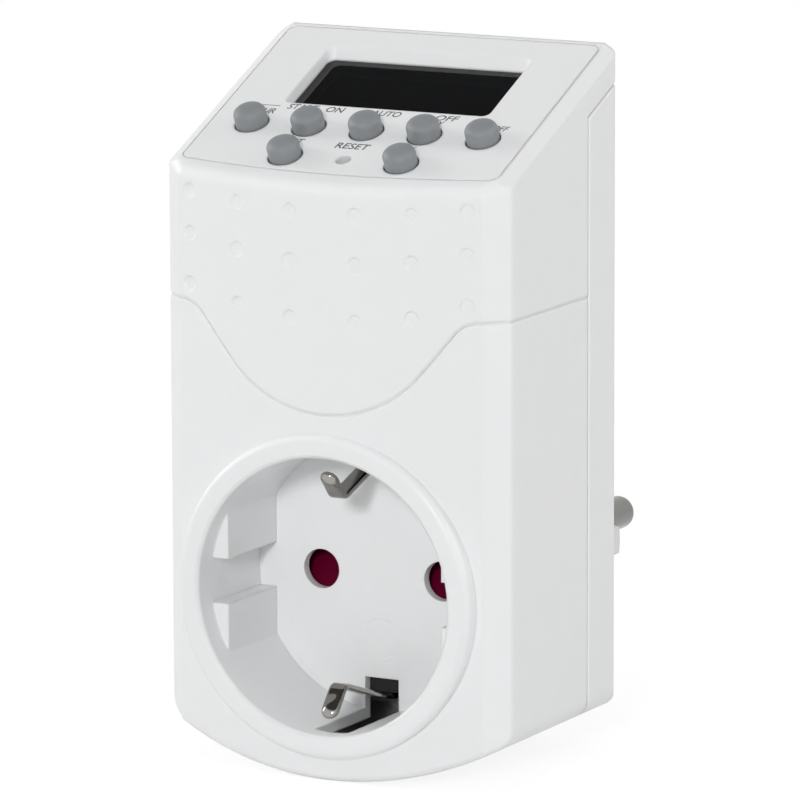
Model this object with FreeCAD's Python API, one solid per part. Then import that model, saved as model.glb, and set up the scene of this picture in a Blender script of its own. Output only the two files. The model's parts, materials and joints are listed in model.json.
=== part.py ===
"""Plug-in timer with a socket in front and a plug behind, in millimetres.

Origin: centre between the plug pins on the end face of the plug boss.
+Y points into the wall, -Y out of the socket, +Z up, +X to the right.
"""
import FreeCAD, Part
import math
import os

Vector = FreeCAD.Vector

# Plug side
pin_radius = 2.4
pin_length = 19.0
pin_tip_round = 1.6
pin_spread = 19.0
pin_stem_radius = 1.6
pin_rivet_overlap = 0.6
pin_rivet_height = 0.9
boss_radius = 18.5
boss_length = 17.2
boss_wall = 1.8
boss_end_wall = 2.2
boss_flat_inset = 2.5
boss_flat_length = 14.4
boss_fin_height = 3.9
earth_channel_width = 6.2
earth_channel_depth = 5.6
holder_thickness = 1.5
holder_gap = 0.25

# Socket side
socket_radius = 19.4
socket_depth = 17.5
socket_wall = 1.6
socket_rim_bevel = 0.4
socket_hole_radius = 2.8
socket_floor_thickness = 1.5
ring_face_width = 2.3
ring_shoulder = 1.0
ring_proud = 0.7
ring_root = 4.1
guide_block_reach = 2.75
guide_block_gap = 6.3
guide_block_setback = 3.8
earth_slot_width = 5.3
earth_slot_reach = 4.7
earth_slot_setback = 3.0

# Body outline
body_width = 53.2
rear_depth = 8.8
side_depth = 23.1
corner_width = 3.1
corner_depth = 2.8
front_crown = 2.0
top_height = 73.6
panel_slope = 24.6
bottom_height = -25.8
bottom_radius = 54.0
bottom_corner_radius = 3.0
back_edge_radius = 1.2
front_top_radius = 2.2
bottom_edge_radius = 1.0
roof_bevel_width = 2.1
roof_bevel_height = 1.1
wall = 2.0
roof_thickness = 2.8
seam_gap = 0.15
seam_round = 0.4

# Joint between the upper and lower covers; the wave's roundness is 0 for a straight flank, 1 for none
joint_height = 39.6
wave_ring_gap = 2.7
wave_side_margin = 0.4
wave_end_radius = 4.5
wave_roundness = 0.583
wave_depth_inside = 4.9
rear_roof_drop = 4.7

# Dimples: columns in from the front's side edges, rows up from the joint, and rise of each row outwards
dimple_radius = 1.15
dimple_depth = 0.35
dimple_column_inset = (18.45, 10.0, 2.0)
dimple_row_up = (13.6, 6.8, -1.1)
dimple_row_rise = (1.45, 2.3, 3.2)
dimple_row_curve = 1.6

# Faceplate, its openings and the keys, in the plane of the sloped panel
plate_thickness = 1.6
plate_top = 0.7
plate_front_border = 3.16
plate_front_crown = 1.6
plate_corner_radius = 1.5
plate_gap = 0.12
plate_ledge = 1.5
window_side_border = 8.5
window_top_border = 4.6
window_key_gap = 5.7
window_side_bevel = 0.3
window_back_bevel = 1.3
window_corner_radius = 1.2
key_pitch = 9.0
key_row_pitch = 7.4
key_front_border = 3.7
key_radius = 2.3
key_hole_gap = 0.2
key_proud = 2.75
key_crown = 1.3
key_flange_width = 0.5
key_flange_thickness = 0.9
key_flange_gap = 0.3
key_flange_clearance = 0.3
key_post_radius = 1.9
key_post_board_gap = 1.2
reset_hole_radius = 1.1
reset_key_offset = 0.1
reset_plunger_radius = 0.9
reset_plunger_sunk = 2.6
reset_plunger_length = 2.9
reset_plunger_round = 0.3
reset_plunger_gap = 0.3
reset_switch_size = 4.5
reset_switch_height = 2.6
reset_well_depth = 1.6

# Display and control board, measured down from the panel's surface
lens_thickness = 0.8
lens_margin = 0.8
glass_thickness = 0.9
glass_contact_ledge = 0.9
glass_step = 2.6
frame_margin = 1.4
frame_front_wall = 0.7
frame_opening_inset = 1.4
frame_opening_setback = 2.0
strip_rubber_width = 1.4
strip_rubber_inset = 0.8
strip_rubber_clearance = 0.1
board_depth = 7.0
board_thickness = 1.6
board_side_gap = 4.6
board_top_border = 6.3
board_front_border = 0.4
mat_thickness = 1.0
mat_back_border = 3.8
mat_front_border = 0.6
mat_skirt_radius = 3.15
mat_skirt_wall = 0.3
mat_skirt_height = 3.1
mat_reset_opening = 3.6
panel_post_inset = 1.7
panel_post_window_offsets = (4.2, 14.9)
panel_post_radius = 1.9
battery_post_offset = 9.8
battery_front_border = 12.7
battery_radius = 7.8
battery_height = 5.4
battery_tab = 0.4
battery_tab_width = 1.6
controller_x = 12.5
controller_front_border = 8.7
controller_radius = 4.8
controller_height = 1.5
controller_bevel = 0.9
crystal_x = 10.5
crystal_top_border = 11.3
crystal_radius = 1.0
crystal_length = 6.2

# Sliding shutter and its carrier behind the socket floor
shutter_gap = 0.3
shutter_thickness = 4.4
shutter_overlap_above = 0.6
shutter_overlap_below = 0.8
shutter_wing = 4.5
shutter_bridge_height = 4.4
shutter_ramp_drop = 2.9
shutter_edge = 0.4
shutter_pin_clearance = 0.4
carrier_inset = 2.4
carrier_rim = 1.2
carrier_plate = 1.5
carrier_hole_gap = 0.2
carrier_seat_drop = 1.8
carrier_seat_half_width = 2.6
carrier_stop_width = 3.0
carrier_stop_height = 3.0
spring_radius = 1.8
spring_wire = 0.35
spring_seat_gap = 0.1
ear_radius = 2.3
ear_offset = 1.8
ear_angles = (45.0, 225.0)
ear_pillar_length = 6.0
ear_screw_length = 6.0

# Contact metal
strip_thickness = 0.8
clip_width = 2.6
clip_bend_reach = 6.6
clip_bend_setback = 6.0
clip_nose_reach = 2.2
clip_nose_setback = 1.9
clip_carrier_gap = 0.3
clip_bend_radius = 1.4
clip_nose_round = 1.25
strap_bend_radius = 1.2
strap_back_gap = 2.0
plug_strip_width = 5.0
plug_strip_foot = 5.0
plug_strip_end_gap = 0.8
contact_thickness = 0.6
contact_depth = 8.6
contact_play = 0.05
contact_height = 6.8
contact_tail_width = 4.0
tail_lap = 3.6
feed_strip_width = 4.0
feed_strip_height = 10.5
feed_strip_lap = 4.6
feed_strip_foot = 3.4

# Power board and what stands on it; places are in from the board's nearer side and up from its lower edge,
# but the varistor's is down from the upper edge
power_board_setback = 7.6
power_board_thickness = 1.6
power_board_side_gap = 0.4
power_board_height = 33.5
power_board_drop = 15.6
rail_inset = 2.3
rail_width = 2.0
relay_size = (19.0, 15.3, 15.5)
relay_inset = 0.6
relay_up = 5.5
capacitor_size = (13.0, 12.0, 6.0)
capacitor_inset = 0.5
capacitor_up = 5.5
component_bevel = 0.6
electrolytic_radius = 3.15
electrolytic_length = 11.0
electrolytic_inset = 10.4
electrolytic_up = 19.0
bridge_size = (6.5, 3.3, 8.5)
bridge_inset = 0.3
bridge_up = 12.5
varistor_radius = 4.5
varistor_thickness = 3.6
varistor_stand = 0.8
varistor_inset = 3.8
varistor_drop = 7.0
resistor_radius = 1.9
resistor_length = 9.0
resistor_lead_reach = 3.8
resistor_stand = 0.4
resistor_inset = 10.3
resistor_up = 25.1
lead_radius = 0.4
ribbon_width = 7.0
ribbon_thickness = 0.9
ribbon_x = 3.0
ribbon_reach = 6.2
ribbon_fall = 4.3
ribbon_bend_radius = 1.5

# Screws
pillar_side_inset = 4.3
lower_pillar_up = 12.3
upper_pillar_drop = 23.6
pillar_radius = 2.6
pillar_length = 11.0
case_screw_radius = 1.35
case_screw_length = 15.0
case_screw_head_radius = 2.6
case_screw_head_height = 1.7
case_screw_sunk = 0.7
screw_clearance = 0.25
small_screw_radius = 0.9
small_screw_head_radius = 1.8
small_screw_head_height = 1.3
thread_play = 0.03

# Places worked out from the sizes above
back_y = -boss_length
seam_y = back_y - rear_depth
shoulder_y = seam_y - side_depth
crease_y = shoulder_y - corner_depth
crown_y = crease_y - front_crown
ring_y = crown_y - ring_proud
floor_y = ring_y + socket_depth
floor_back_y = floor_y + socket_floor_thickness
inner_back_y = back_y - wall
half_width = body_width / 2
crease_x = half_width - corner_width
pin_x = pin_spread / 2
pin_rivet_radius = pin_stem_radius + pin_rivet_overlap
boss_flat_x = boss_radius - boss_flat_inset
earth_channel_floor = boss_radius - earth_channel_depth
ring_face_radius = socket_radius + ring_face_width
ring_base_radius = ring_face_radius + ring_shoulder
guide_block_x = socket_radius - guide_block_reach
earth_slot_inner = socket_radius - earth_slot_reach
earth_slot_outer = socket_radius + socket_wall + clip_carrier_gap
carrier_radius = socket_radius - carrier_inset
clip_bend_inside = socket_radius - clip_bend_reach
clip_nose_height = socket_radius - clip_nose_reach
clip_root_height = carrier_radius + clip_carrier_gap
ear_distance = socket_radius + socket_wall + ear_offset
wave_bottom = ring_base_radius + wave_ring_gap
pillar_x = half_width - pillar_side_inset
pillar_heights = (bottom_height + lower_pillar_up, top_height - upper_pillar_drop)
slope = math.radians(panel_slope)
roof_front_s = (back_y - crown_y) / math.cos(slope)
plate_width = body_width - 2 * roof_bevel_width
plate_front = roof_front_s - plate_front_border
window_width = plate_width - 2 * window_side_border
second_row_s = plate_front - key_front_border
key_row_s = second_row_s - key_row_pitch
window_top = plate_top + window_top_border
window_front = key_row_s - window_key_gap
key_hole_radius = key_radius + key_hole_gap
key_flange_radius = key_radius + key_flange_width
key_post_bottom = key_post_board_gap - board_depth
reset_s = second_row_s - reset_key_offset
reset_switch_top = reset_switch_height - board_depth
reset_well_radius = reset_plunger_radius + reset_plunger_gap
board_half_width = half_width - board_side_gap
board_top_s = plate_top + board_top_border
board_front_s = plate_front - board_front_border
panel_post_x = board_half_width - panel_post_inset
battery_x = battery_post_offset - panel_post_x
power_board_y = back_y - power_board_setback
power_board_half_width = pillar_x - pillar_radius - power_board_side_gap
power_board_top = top_height - power_board_drop
power_board_bottom = power_board_top - power_board_height
rail_x = power_board_half_width - rail_inset
shutter_top = socket_hole_radius + shutter_overlap_above
shutter_travel = shutter_top + pin_radius + shutter_pin_clearance
carrier_room_radius = carrier_radius - carrier_rim
carrier_hole_radius = socket_hole_radius + carrier_hole_gap
carrier_seat_height = carrier_room_radius - carrier_seat_drop
reach = 200.0
overshoot = 1.0
touching = 0.001


# Building helpers

def box(x0, x1, y0, y1, z0, z1):
    return Part.makeBox(x1 - x0, y1 - y0, z1 - z0, Vector(x0, y0, z0))


def rod(x, z, radius, y0, y1):
    return Part.makeCylinder(radius, y1 - y0, Vector(x, y0, z), Vector(0, 1, 0))


def spool(x, y, radius, h0, h1):
    return Part.makeCylinder(radius, h1 - h0, Vector(x, y, h0), Vector(0, 0, 1))


def outline(points):
    corners = [Vector(*point) for point in points]
    return Part.Face(Part.makePolygon(corners + [corners[0]]))


def fused(shapes):
    whole = shapes[0]
    for shape in shapes[1:]:
        whole = whole.fuse(shape)
    return whole.removeSplitter()


def on_panel(shape):
    """Carry a shape drawn flat, x across, y up the slope, z outwards, to the sloped panel."""
    placed = shape.copy()
    placed.rotate(Vector(0, 0, 0), Vector(1, 0, 0), panel_slope)
    placed.translate(Vector(0, back_y, top_height))
    return placed


def panel_point(s, h):
    """World y and z of a point s down the slope and h above the panel."""
    y = back_y - s * math.cos(slope) - h * math.sin(slope)
    z = top_height - s * math.sin(slope) + h * math.cos(slope)
    return y, z


def edges_where(shape, test):
    return [edge for edge in shape.Edges if test(edge)]


def bent_strip(path, radius, thickness, width, x_middle):
    """Sheet strip of constant thickness that follows a path in the YZ plane with round bends."""
    half = thickness / 2
    sides = {1: [], -1: []}
    run_starts = {}
    for side in (1, -1):
        last = None
        for index, point in enumerate(path):
            here = Vector(0, *point)
            before = Vector(0, *path[index - 1]) if index > 0 else None
            after = Vector(0, *path[index + 1]) if index < len(path) - 1 else None
            run = (after - here if after is not None else here - before).normalize()
            arrive = (here - before).normalize() if before is not None else run
            leave = (after - here).normalize() if after is not None else run
            left_in = Vector(0, -arrive.z, arrive.y) * side * half
            left_out = Vector(0, -leave.z, leave.y) * side * half
            if before is None or after is None:
                spot = here + left_out
                if last is None:
                    run_starts[side] = spot
                else:
                    sides[side].append(Part.makeLine(last, spot))
                last = spot
                continue
            turn = math.acos(max(-1.0, min(1.0, arrive.dot(leave))))
            back_off = radius * math.tan(turn / 2)
            start = here - arrive * back_off
            end = here + leave * back_off
            inward = (leave - arrive).normalize()
            centre = here + inward * (radius / math.cos(turn / 2))
            arc_radius = (start + left_in - centre).Length
            middle = centre - inward * arc_radius
            sides[side].append(Part.makeLine(last, start + left_in))
            sides[side].append(Part.Arc(start + left_in, middle, end + left_out).toShape())
            last = end + left_out
        sides[side].append(last)
    ends = {side: edges.pop() for side, edges in sides.items()}
    edges = sides[1] + [Part.makeLine(ends[1], ends[-1])]
    edges += sides[-1] + [Part.makeLine(run_starts[-1], run_starts[1])]
    face = Part.Face(Part.Wire(Part.__sortEdges__(edges)))
    strip = face.extrude(Vector(width, 0, 0))
    strip.translate(Vector(x_middle - width / 2, 0, 0))
    return strip


# Body envelope

def plan_prism(inset):
    """Upright prism of the body's plan: flat back and sides, bevelled corners, crowned front."""
    front = Part.Arc(Vector(crease_x, crease_y, 0), Vector(0, crown_y, 0), Vector(-crease_x, crease_y, 0))
    edges = [
        Part.makeLine(Vector(-crease_x, crease_y, 0), Vector(-half_width, shoulder_y, 0)),
        Part.makeLine(Vector(-half_width, shoulder_y, 0), Vector(-half_width, back_y, 0)),
        Part.makeLine(Vector(-half_width, back_y, 0), Vector(half_width, back_y, 0)),
        Part.makeLine(Vector(half_width, back_y, 0), Vector(half_width, shoulder_y, 0)),
        Part.makeLine(Vector(half_width, shoulder_y, 0), Vector(crease_x, crease_y, 0)),
        front.toShape(),
    ]
    wire = Part.Wire(edges)
    if inset:
        wire = wire.makeOffset2D(-inset)
    prism = Part.Face(wire).extrude(Vector(0, 0, 2 * reach))
    prism.translate(Vector(0, 0, -reach))
    if inset:
        return prism
    rear = edges_where(prism, lambda edge: len(edge.Vertexes) == 2
                       and abs(edge.Vertexes[0].Z - edge.Vertexes[1].Z) > reach
                       and edge.Vertexes[0].Y > back_y - overshoot)
    return prism.makeFillet(back_edge_radius, rear)


def front_prism(inset):
    """Prism of the front outline: straight sides and an arched bottom with round corners."""
    x = half_width - inset
    radius = bottom_radius - inset
    low = bottom_height + inset
    side_low = low + radius - math.sqrt(radius ** 2 - x ** 2)
    arc = Part.Arc(Vector(-x, 0, side_low), Vector(0, 0, low), Vector(x, 0, side_low)).toShape()
    corners = [Vector(x, 0, side_low), Vector(x, 0, reach), Vector(-x, 0, reach), Vector(-x, 0, side_low)]
    prism = Part.Face(Part.Wire([arc, Part.makePolygon(corners)])).extrude(Vector(0, 2 * reach, 0))
    prism.translate(Vector(0, -reach, 0))
    lower = edges_where(prism, lambda edge: len(edge.Vertexes) == 2
                        and abs(edge.Vertexes[0].Y - edge.Vertexes[1].Y) > reach
                        and edge.Vertexes[0].Z < 0)
    return prism.makeFillet(bottom_corner_radius - min(inset, wall) / 2, lower)


def roof_prism(inset):
    """Everything below the sloped roof, with its bevels along both sides."""
    deep = -reach
    if inset:
        section = [(-half_width, deep), (-half_width, -inset), (half_width, -inset), (half_width, deep)]
    else:
        flat = half_width - roof_bevel_width
        bevel = -roof_bevel_height
        section = [(-half_width, deep), (-half_width, bevel), (-flat, 0), (flat, 0),
                   (half_width, bevel), (half_width, deep)]
    face = outline([(x, -reach, h) for x, h in section])
    return on_panel(face.extrude(Vector(0, 2 * reach, 0)))


def front_edges(shape, test):
    """Edges that run across the front and pass a test of their height."""
    return edges_where(shape, lambda edge: edge.BoundBox.YMax < shoulder_y + overshoot
                       and edge.BoundBox.XLength > edge.BoundBox.YLength / 2
                       and edge.BoundBox.XLength > edge.BoundBox.ZLength
                       and test(edge.BoundBox))


def body_envelope():
    """Whole body with its rounded front top edge and its rounded bottom front edge."""
    solid = plan_prism(0).common(front_prism(0)).common(roof_prism(0)).removeSplitter()
    roof_front = crease_y + corner_depth / 2
    solid = solid.makeFillet(front_top_radius, front_edges(solid, lambda bound: bound.ZMin > joint_height
                                                           and bound.YMax < roof_front))
    return solid.makeFillet(bottom_edge_radius, front_edges(solid, lambda bound: bound.ZMax < 0))


def body_cavity():
    return plan_prism(wall).common(front_prism(wall)).common(roof_prism(roof_thickness))


# Regions that share the body out between its three shells

def rear_region(gap):
    """What lies behind the rear seam and under the seam parallel to the roof."""
    region = box(-reach, reach, seam_y + gap, reach, -reach, reach)
    return region.common(roof_prism(rear_roof_drop + gap))


def wave_edges(y, shift):
    """The wave on the front: a wide trough, two straight flanks and two rounded shoulders.

    The flanks' slope follows from the wave's height and half width, and the trough's radius from that slope.
    """
    low = wave_bottom + shift
    rise = joint_height - wave_bottom
    end_x = crease_x - wave_side_margin
    turn = math.atan(rise / end_x) * (1 + wave_roundness)
    both_radii = (end_x * math.sin(turn) - rise * math.cos(turn)) / (1 - math.cos(turn))
    wave_radius = both_radii - wave_end_radius
    trough_x = wave_radius * math.sin(turn)
    trough_z = low + wave_radius * (1 - math.cos(turn))
    flank = (rise - both_radii * (1 - math.cos(turn))) / math.sin(turn)
    flank_x = trough_x + flank * math.cos(turn)
    flank_z = trough_z + flank * math.sin(turn)
    half = turn / 2
    mid_x = end_x - wave_end_radius * math.sin(half)
    mid_z = joint_height + shift - wave_end_radius * (1 - math.cos(half))
    trough = Part.Arc(Vector(-trough_x, y, trough_z), Vector(0, y, low), Vector(trough_x, y, trough_z))
    edges = [trough.toShape()]
    for side in (1, -1):
        edges.append(Part.makeLine(Vector(side * trough_x, y, trough_z), Vector(side * flank_x, y, flank_z)))
        edges.append(Part.Arc(Vector(side * flank_x, y, flank_z), Vector(side * mid_x, y, mid_z),
                              Vector(side * end_x, y, joint_height + shift)).toShape())
    return edges, end_x


def upper_region(shift):
    """What lies above the joint: a level plane, and the wave through the front wall."""
    edges, end_x = wave_edges(-reach, shift)
    level = joint_height + shift
    edges.append(Part.makeLine(Vector(end_x, -reach, level), Vector(-end_x, -reach, level)))
    trough = Part.Face(Part.Wire(Part.__sortEdges__(edges)))
    trough = trough.extrude(Vector(0, reach + crown_y + wave_depth_inside, 0))
    above = box(-reach, reach, -reach, reach, level, reach)
    return above.fuse(trough)


def rounded_seams(block, envelope, regions):
    """Round the block's outer edges where it was parted from its neighbours by the regions."""
    skin = envelope.Shells[0]
    partings = [shell for region in regions for shell in region.Shells]
    seams = []
    for edge in block.Edges:
        middle = Part.Vertex(edge.valueAt((edge.FirstParameter + edge.LastParameter) / 2))
        on_skin = middle.distToShape(skin)[0] < touching
        if on_skin and min(middle.distToShape(shell)[0] for shell in partings) < touching:
            seams.append(edge)
    return block.makeFillet(seam_round, seams)


# Shells

def earth_slots():
    """Slots through the socket wall for the two earth clips, above and below."""
    half = earth_slot_width / 2
    front = ring_y + earth_slot_setback
    slot = box(-half, half, front, floor_back_y + overshoot, earth_slot_inner, earth_slot_outer)
    return slot.fuse(slot.mirror(Vector(0, 0, 0), Vector(0, 0, 1)))


def socket_cup():
    """Ring and cup turned about the socket axis, with guide blocks and earth slots."""
    outer = socket_radius + socket_wall
    start = Vector(socket_radius + socket_rim_bevel, ring_y, 0)
    knee = 1 - math.sqrt(0.5)
    face_end = Vector(ring_face_radius, ring_y, 0)
    base = Vector(ring_base_radius, ring_y + ring_shoulder, 0)
    shoulder_middle = Vector(ring_base_radius - ring_shoulder * knee, ring_y + ring_shoulder * knee, 0)
    corners = [base, Vector(ring_base_radius, ring_y + ring_root, 0), Vector(outer, ring_y + ring_root, 0),
               Vector(outer, floor_y, 0), Vector(socket_radius, floor_y, 0),
               Vector(socket_radius, ring_y + socket_rim_bevel, 0), start]
    wire = Part.Wire([Part.makeLine(start, face_end), Part.Arc(face_end, shoulder_middle, base).toShape(),
                      Part.makePolygon(corners)])
    cup = Part.Face(wire).revolve(Vector(0, 0, 0), Vector(0, 1, 0), 360)
    half_gap = guide_block_gap / 2
    bulk = rod(0, 0, socket_radius + socket_wall / 2, ring_y + guide_block_setback, floor_y)
    for side in (1, -1):
        near = min(side * guide_block_x, side * reach)
        far = max(side * guide_block_x, side * reach)
        for low, high in ((half_gap, socket_radius), (-socket_radius, -half_gap)):
            cup = cup.fuse(bulk.common(box(near, far, ring_y, floor_y, low, high)))
    return cup.removeSplitter().cut(earth_slots())


def case_pillars(heights, y0, y1, bore):
    """Round screw pillars that stand against the side walls, with their screw holes."""
    pillars = []
    holes = []
    for height in heights:
        for side in (1, -1):
            pillars.append(rod(side * pillar_x, height, pillar_radius, y0, y1))
            holes.append(rod(side * pillar_x, height, bore, y0 - overshoot, y1 + overshoot))
    return pillars, holes


def ear_places():
    spots = [(ear_distance * math.cos(math.radians(angle)), ear_distance * math.sin(math.radians(angle)))
             for angle in ear_angles]
    return spots


def lower_cover():
    envelope = body_envelope()
    regions = [upper_region(-seam_gap), rear_region(-seam_gap)]
    block = rounded_seams(envelope.cut(regions[0]).cut(regions[1]), envelope, regions)
    shell = block.cut(body_cavity())
    cup_middle = socket_radius + socket_wall / 2
    shell = shell.cut(rod(0, 0, cup_middle, ring_y - overshoot, crown_y + 2 * wall + front_crown))
    pillars, holes = case_pillars(pillar_heights[:1], seam_y - pillar_length, seam_y - seam_gap,
                                  case_screw_radius + thread_play)
    pillars = [pillar.common(envelope) for pillar in pillars]
    lugs = [rod(x, z, ear_radius, floor_y - ear_pillar_length, floor_y) for x, z in ear_places()]
    lugs = [lug.cut(rod(0, 0, cup_middle, ring_y, 0)) for lug in lugs]
    shell = fused([shell, socket_cup()] + pillars + lugs)
    for x, z in ear_places():
        holes.append(rod(x, z, small_screw_radius + thread_play,
                         floor_y - ear_screw_length, floor_y + overshoot))
    return shell.cut(Part.makeCompound(holes)).removeSplitter()


def dimples():
    """Shallow flat-bottomed round dimples in three sagging rows, cut square to the front."""
    span = dimple_column_inset[0] - dimple_column_inset[-1]
    cuts = []
    for up, rise in zip(dimple_row_up, dimple_row_rise):
        for inset in dimple_column_inset:
            z = joint_height + up + rise * ((dimple_column_inset[0] - inset) / span) ** dimple_row_curve
            for side in (1, -1):
                x = side * (crease_x - inset)
                surface = crown_y + front_crown * (x / crease_x) ** 2
                lean = math.degrees(math.atan(2 * front_crown * x / crease_x ** 2))
                pit = rod(0, 0, dimple_radius, -overshoot, dimple_depth)
                pit.rotate(Vector(0, 0, 0), Vector(0, 0, 1), lean)
                pit.translate(Vector(x, surface, z))
                cuts.append(pit)
    return Part.makeCompound(cuts)


def plate_outline(inset):
    """Faceplate outline in the panel's plane, its front edge bowed as the body's front is."""
    half = plate_width / 2 - inset
    top = -plate_top - inset
    front = -plate_front + inset
    corner = front + plate_front_crown
    edges = [
        Part.makeLine(Vector(-half, corner, 0), Vector(-half, top, 0)),
        Part.makeLine(Vector(-half, top, 0), Vector(half, top, 0)),
        Part.makeLine(Vector(half, top, 0), Vector(half, corner, 0)),
        Part.Arc(Vector(half, corner, 0), Vector(0, front, 0), Vector(-half, corner, 0)).toShape(),
    ]
    return Part.Face(Part.Wire(edges))


def plate_block(inset, h0, h1):
    block = plate_outline(inset).extrude(Vector(0, 0, h1 - h0))
    block.translate(Vector(0, 0, h0))
    upright = edges_where(block, lambda edge: len(edge.Vertexes) == 2
                          and abs(edge.Vertexes[0].Z - edge.Vertexes[1].Z) > (h1 - h0) / 2)
    return block.makeFillet(plate_corner_radius - min(inset, plate_corner_radius / 2), upright)


def upper_cover():
    envelope = body_envelope()
    regions = [upper_region(0), rear_region(-seam_gap)]
    block = rounded_seams(envelope.common(regions[0]).cut(regions[1]), envelope, regions)
    shell = block.cut(body_cavity())
    shell = shell.cut(on_panel(plate_block(0, -plate_thickness, overshoot)))
    shell = shell.cut(on_panel(plate_block(plate_ledge, -roof_thickness - overshoot, 0)))
    scallop_radius = key_flange_radius + key_flange_clearance
    scallops = [spool(x, -s, scallop_radius, -roof_thickness - overshoot, -plate_thickness)
                for x, s in key_places()]
    shell = shell.cut(on_panel(Part.makeCompound(scallops)))
    pillars, holes = case_pillars(pillar_heights[1:], seam_y - pillar_length, seam_y - seam_gap,
                                  case_screw_radius + thread_play)
    pillars = [pillar.common(envelope) for pillar in pillars]
    shell = fused([shell] + pillars)
    return shell.cut(Part.makeCompound(holes)).cut(dimples())


def boss_void(inset):
    """Hollow of the plug boss, which steps in behind its flats and its earth channels."""
    round_part = rod(0, 0, boss_radius - boss_wall - inset, inner_back_y - overshoot, -boss_end_wall)
    half_x = boss_flat_x - boss_wall - inset
    void = round_part.common(box(-half_x, half_x, -reach, reach, -reach, reach))
    channel_half = earth_channel_width / 2 + boss_wall + inset
    channel_low = earth_channel_floor - boss_wall - inset
    for low, high in ((channel_low, reach), (-reach, -channel_low)):
        void = void.cut(box(-channel_half, channel_half, -reach, reach, low, high))
    return void


def plug_boss():
    """Round plug boss with side flats, a guide fin on each side and an earth channel above and below."""
    boss = rod(0, 0, boss_radius, inner_back_y, 0)
    half_fin = boss_fin_height / 2
    for side in (1, -1):
        near = min(side * boss_flat_x, side * reach)
        far = max(side * boss_flat_x, side * reach)
        for low, high in ((half_fin, reach), (-reach, -half_fin)):
            boss = boss.cut(box(near, far, -boss_flat_length, overshoot, low, high))
    return boss


def earth_channels():
    half = earth_channel_width / 2
    channel = box(-half, half, back_y, overshoot, earth_channel_floor, reach)
    return channel.fuse(channel.mirror(Vector(0, 0, 0), Vector(0, 0, 1)))


def plug_strip_slots():
    """Slots in the back wall that let the plug's earth strips through."""
    half = plug_strip_width / 2 + thread_play
    slot = box(-half, half, inner_back_y - overshoot, back_y + overshoot,
               earth_channel_floor, earth_channel_floor + strip_thickness + thread_play)
    return slot.fuse(slot.mirror(Vector(0, 0, 0), Vector(0, 0, 1)))


def rear_cover():
    envelope = body_envelope()
    regions = [rear_region(0)]
    block = rounded_seams(envelope.common(regions[0]), envelope, regions)
    shell = block.cut(body_cavity())
    sleeves, bores = case_pillars(pillar_heights, seam_y, inner_back_y, case_screw_radius + screw_clearance)
    sleeves = [sleeve.common(envelope) for sleeve in sleeves]
    half_rail = rail_width / 2
    rails = [box(side * rail_x - half_rail, side * rail_x + half_rail, power_board_y + power_board_thickness,
                 inner_back_y, power_board_bottom + rail_width, power_board_top - rail_width)
             for side in (1, -1)]
    shell = fused([shell, plug_boss()] + sleeves + rails)
    shell = shell.cut(boss_void(0)).cut(earth_channels()).cut(plug_strip_slots())
    for side in (1, -1):
        bores.append(rod(side * pin_x, 0, pin_stem_radius + thread_play,
                         -boss_end_wall - overshoot, overshoot))
        for height in pillar_heights:
            sunk = case_screw_head_height + case_screw_sunk
            bores.append(rod(side * pillar_x, height, case_screw_head_radius + screw_clearance,
                             back_y - sunk, back_y + overshoot))
            bores.append(rod(side * pillar_x, height, case_screw_radius + screw_clearance,
                             seam_y - overshoot, back_y))
    return shell.cut(Part.makeCompound(bores)).removeSplitter()


# Faceplate and keys

def key_places():
    """Centres of the seven keys as x and distance down the slope: five in a row and two below."""
    places = [((index - 2) * key_pitch, key_row_s) for index in range(5)]
    places += [(side * key_pitch, second_row_s) for side in (-1, 1)]
    return places


def window_funnel():
    """Display opening that narrows towards the window, most on its upper side."""
    rims = []
    for h, side, back in ((0, 0, 0), (-plate_thickness, window_side_bevel, window_back_bevel)):
        x = window_width / 2 - side
        top = -window_top - back
        front = -window_front + side
        rims.append(outline([(-x, front, h), (x, front, h), (x, top, h), (-x, top, h)]).OuterWire)
    funnel = Part.makeLoft(rims, True, True)
    slanted = edges_where(funnel, lambda edge: edge.BoundBox.ZLength > plate_thickness / 2)
    return funnel.makeFillet(window_corner_radius, slanted)


def panel_screw_places():
    return [(side * panel_post_x, window_top + offset)
            for offset in panel_post_window_offsets for side in (1, -1)]


def faceplate():
    plate = plate_block(plate_gap, -plate_thickness, 0)
    posts = [spool(x, -s, panel_post_radius, -board_depth, -plate_thickness)
             for x, s in panel_screw_places()]
    plate = fused([plate] + posts)
    cuts = [window_funnel(), spool(0, -reset_s, reset_hole_radius, -plate_thickness - overshoot, overshoot)]
    for x, s in key_places():
        cuts.append(spool(x, -s, key_hole_radius, -plate_thickness - overshoot, overshoot))
    for x, s in panel_screw_places():
        cuts.append(spool(x, -s, small_screw_radius + thread_play,
                          -board_depth - overshoot, -plate_thickness))
    return on_panel(plate.cut(Part.makeCompound(cuts)))


def key(x, s):
    """Push key: crowned cap, body through the plate, stop flange below it and contact post."""
    flange_top = -plate_thickness - key_flange_gap
    side = Vector(key_radius, 0, key_proud - key_crown)
    top = Vector(0, 0, key_proud)
    crown = Part.BezierCurve()
    crown.setPoles([side, Vector(key_radius, 0, key_proud - key_crown / 3),
                    Vector(key_radius * 2 / 3, 0, key_proud), top])
    corners = [top, Vector(0, 0, key_post_bottom), Vector(key_post_radius, 0, key_post_bottom),
               Vector(key_post_radius, 0, flange_top - key_flange_thickness),
               Vector(key_flange_radius, 0, flange_top - key_flange_thickness),
               Vector(key_flange_radius, 0, flange_top), Vector(key_radius, 0, flange_top), side]
    wire = Part.Wire([Part.makePolygon(corners), crown.toShape()])
    solid = Part.Face(wire).revolve(Vector(0, 0, 0), Vector(0, 0, 1), 360)
    solid.translate(Vector(x, -s, 0))
    return on_panel(solid)


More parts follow.
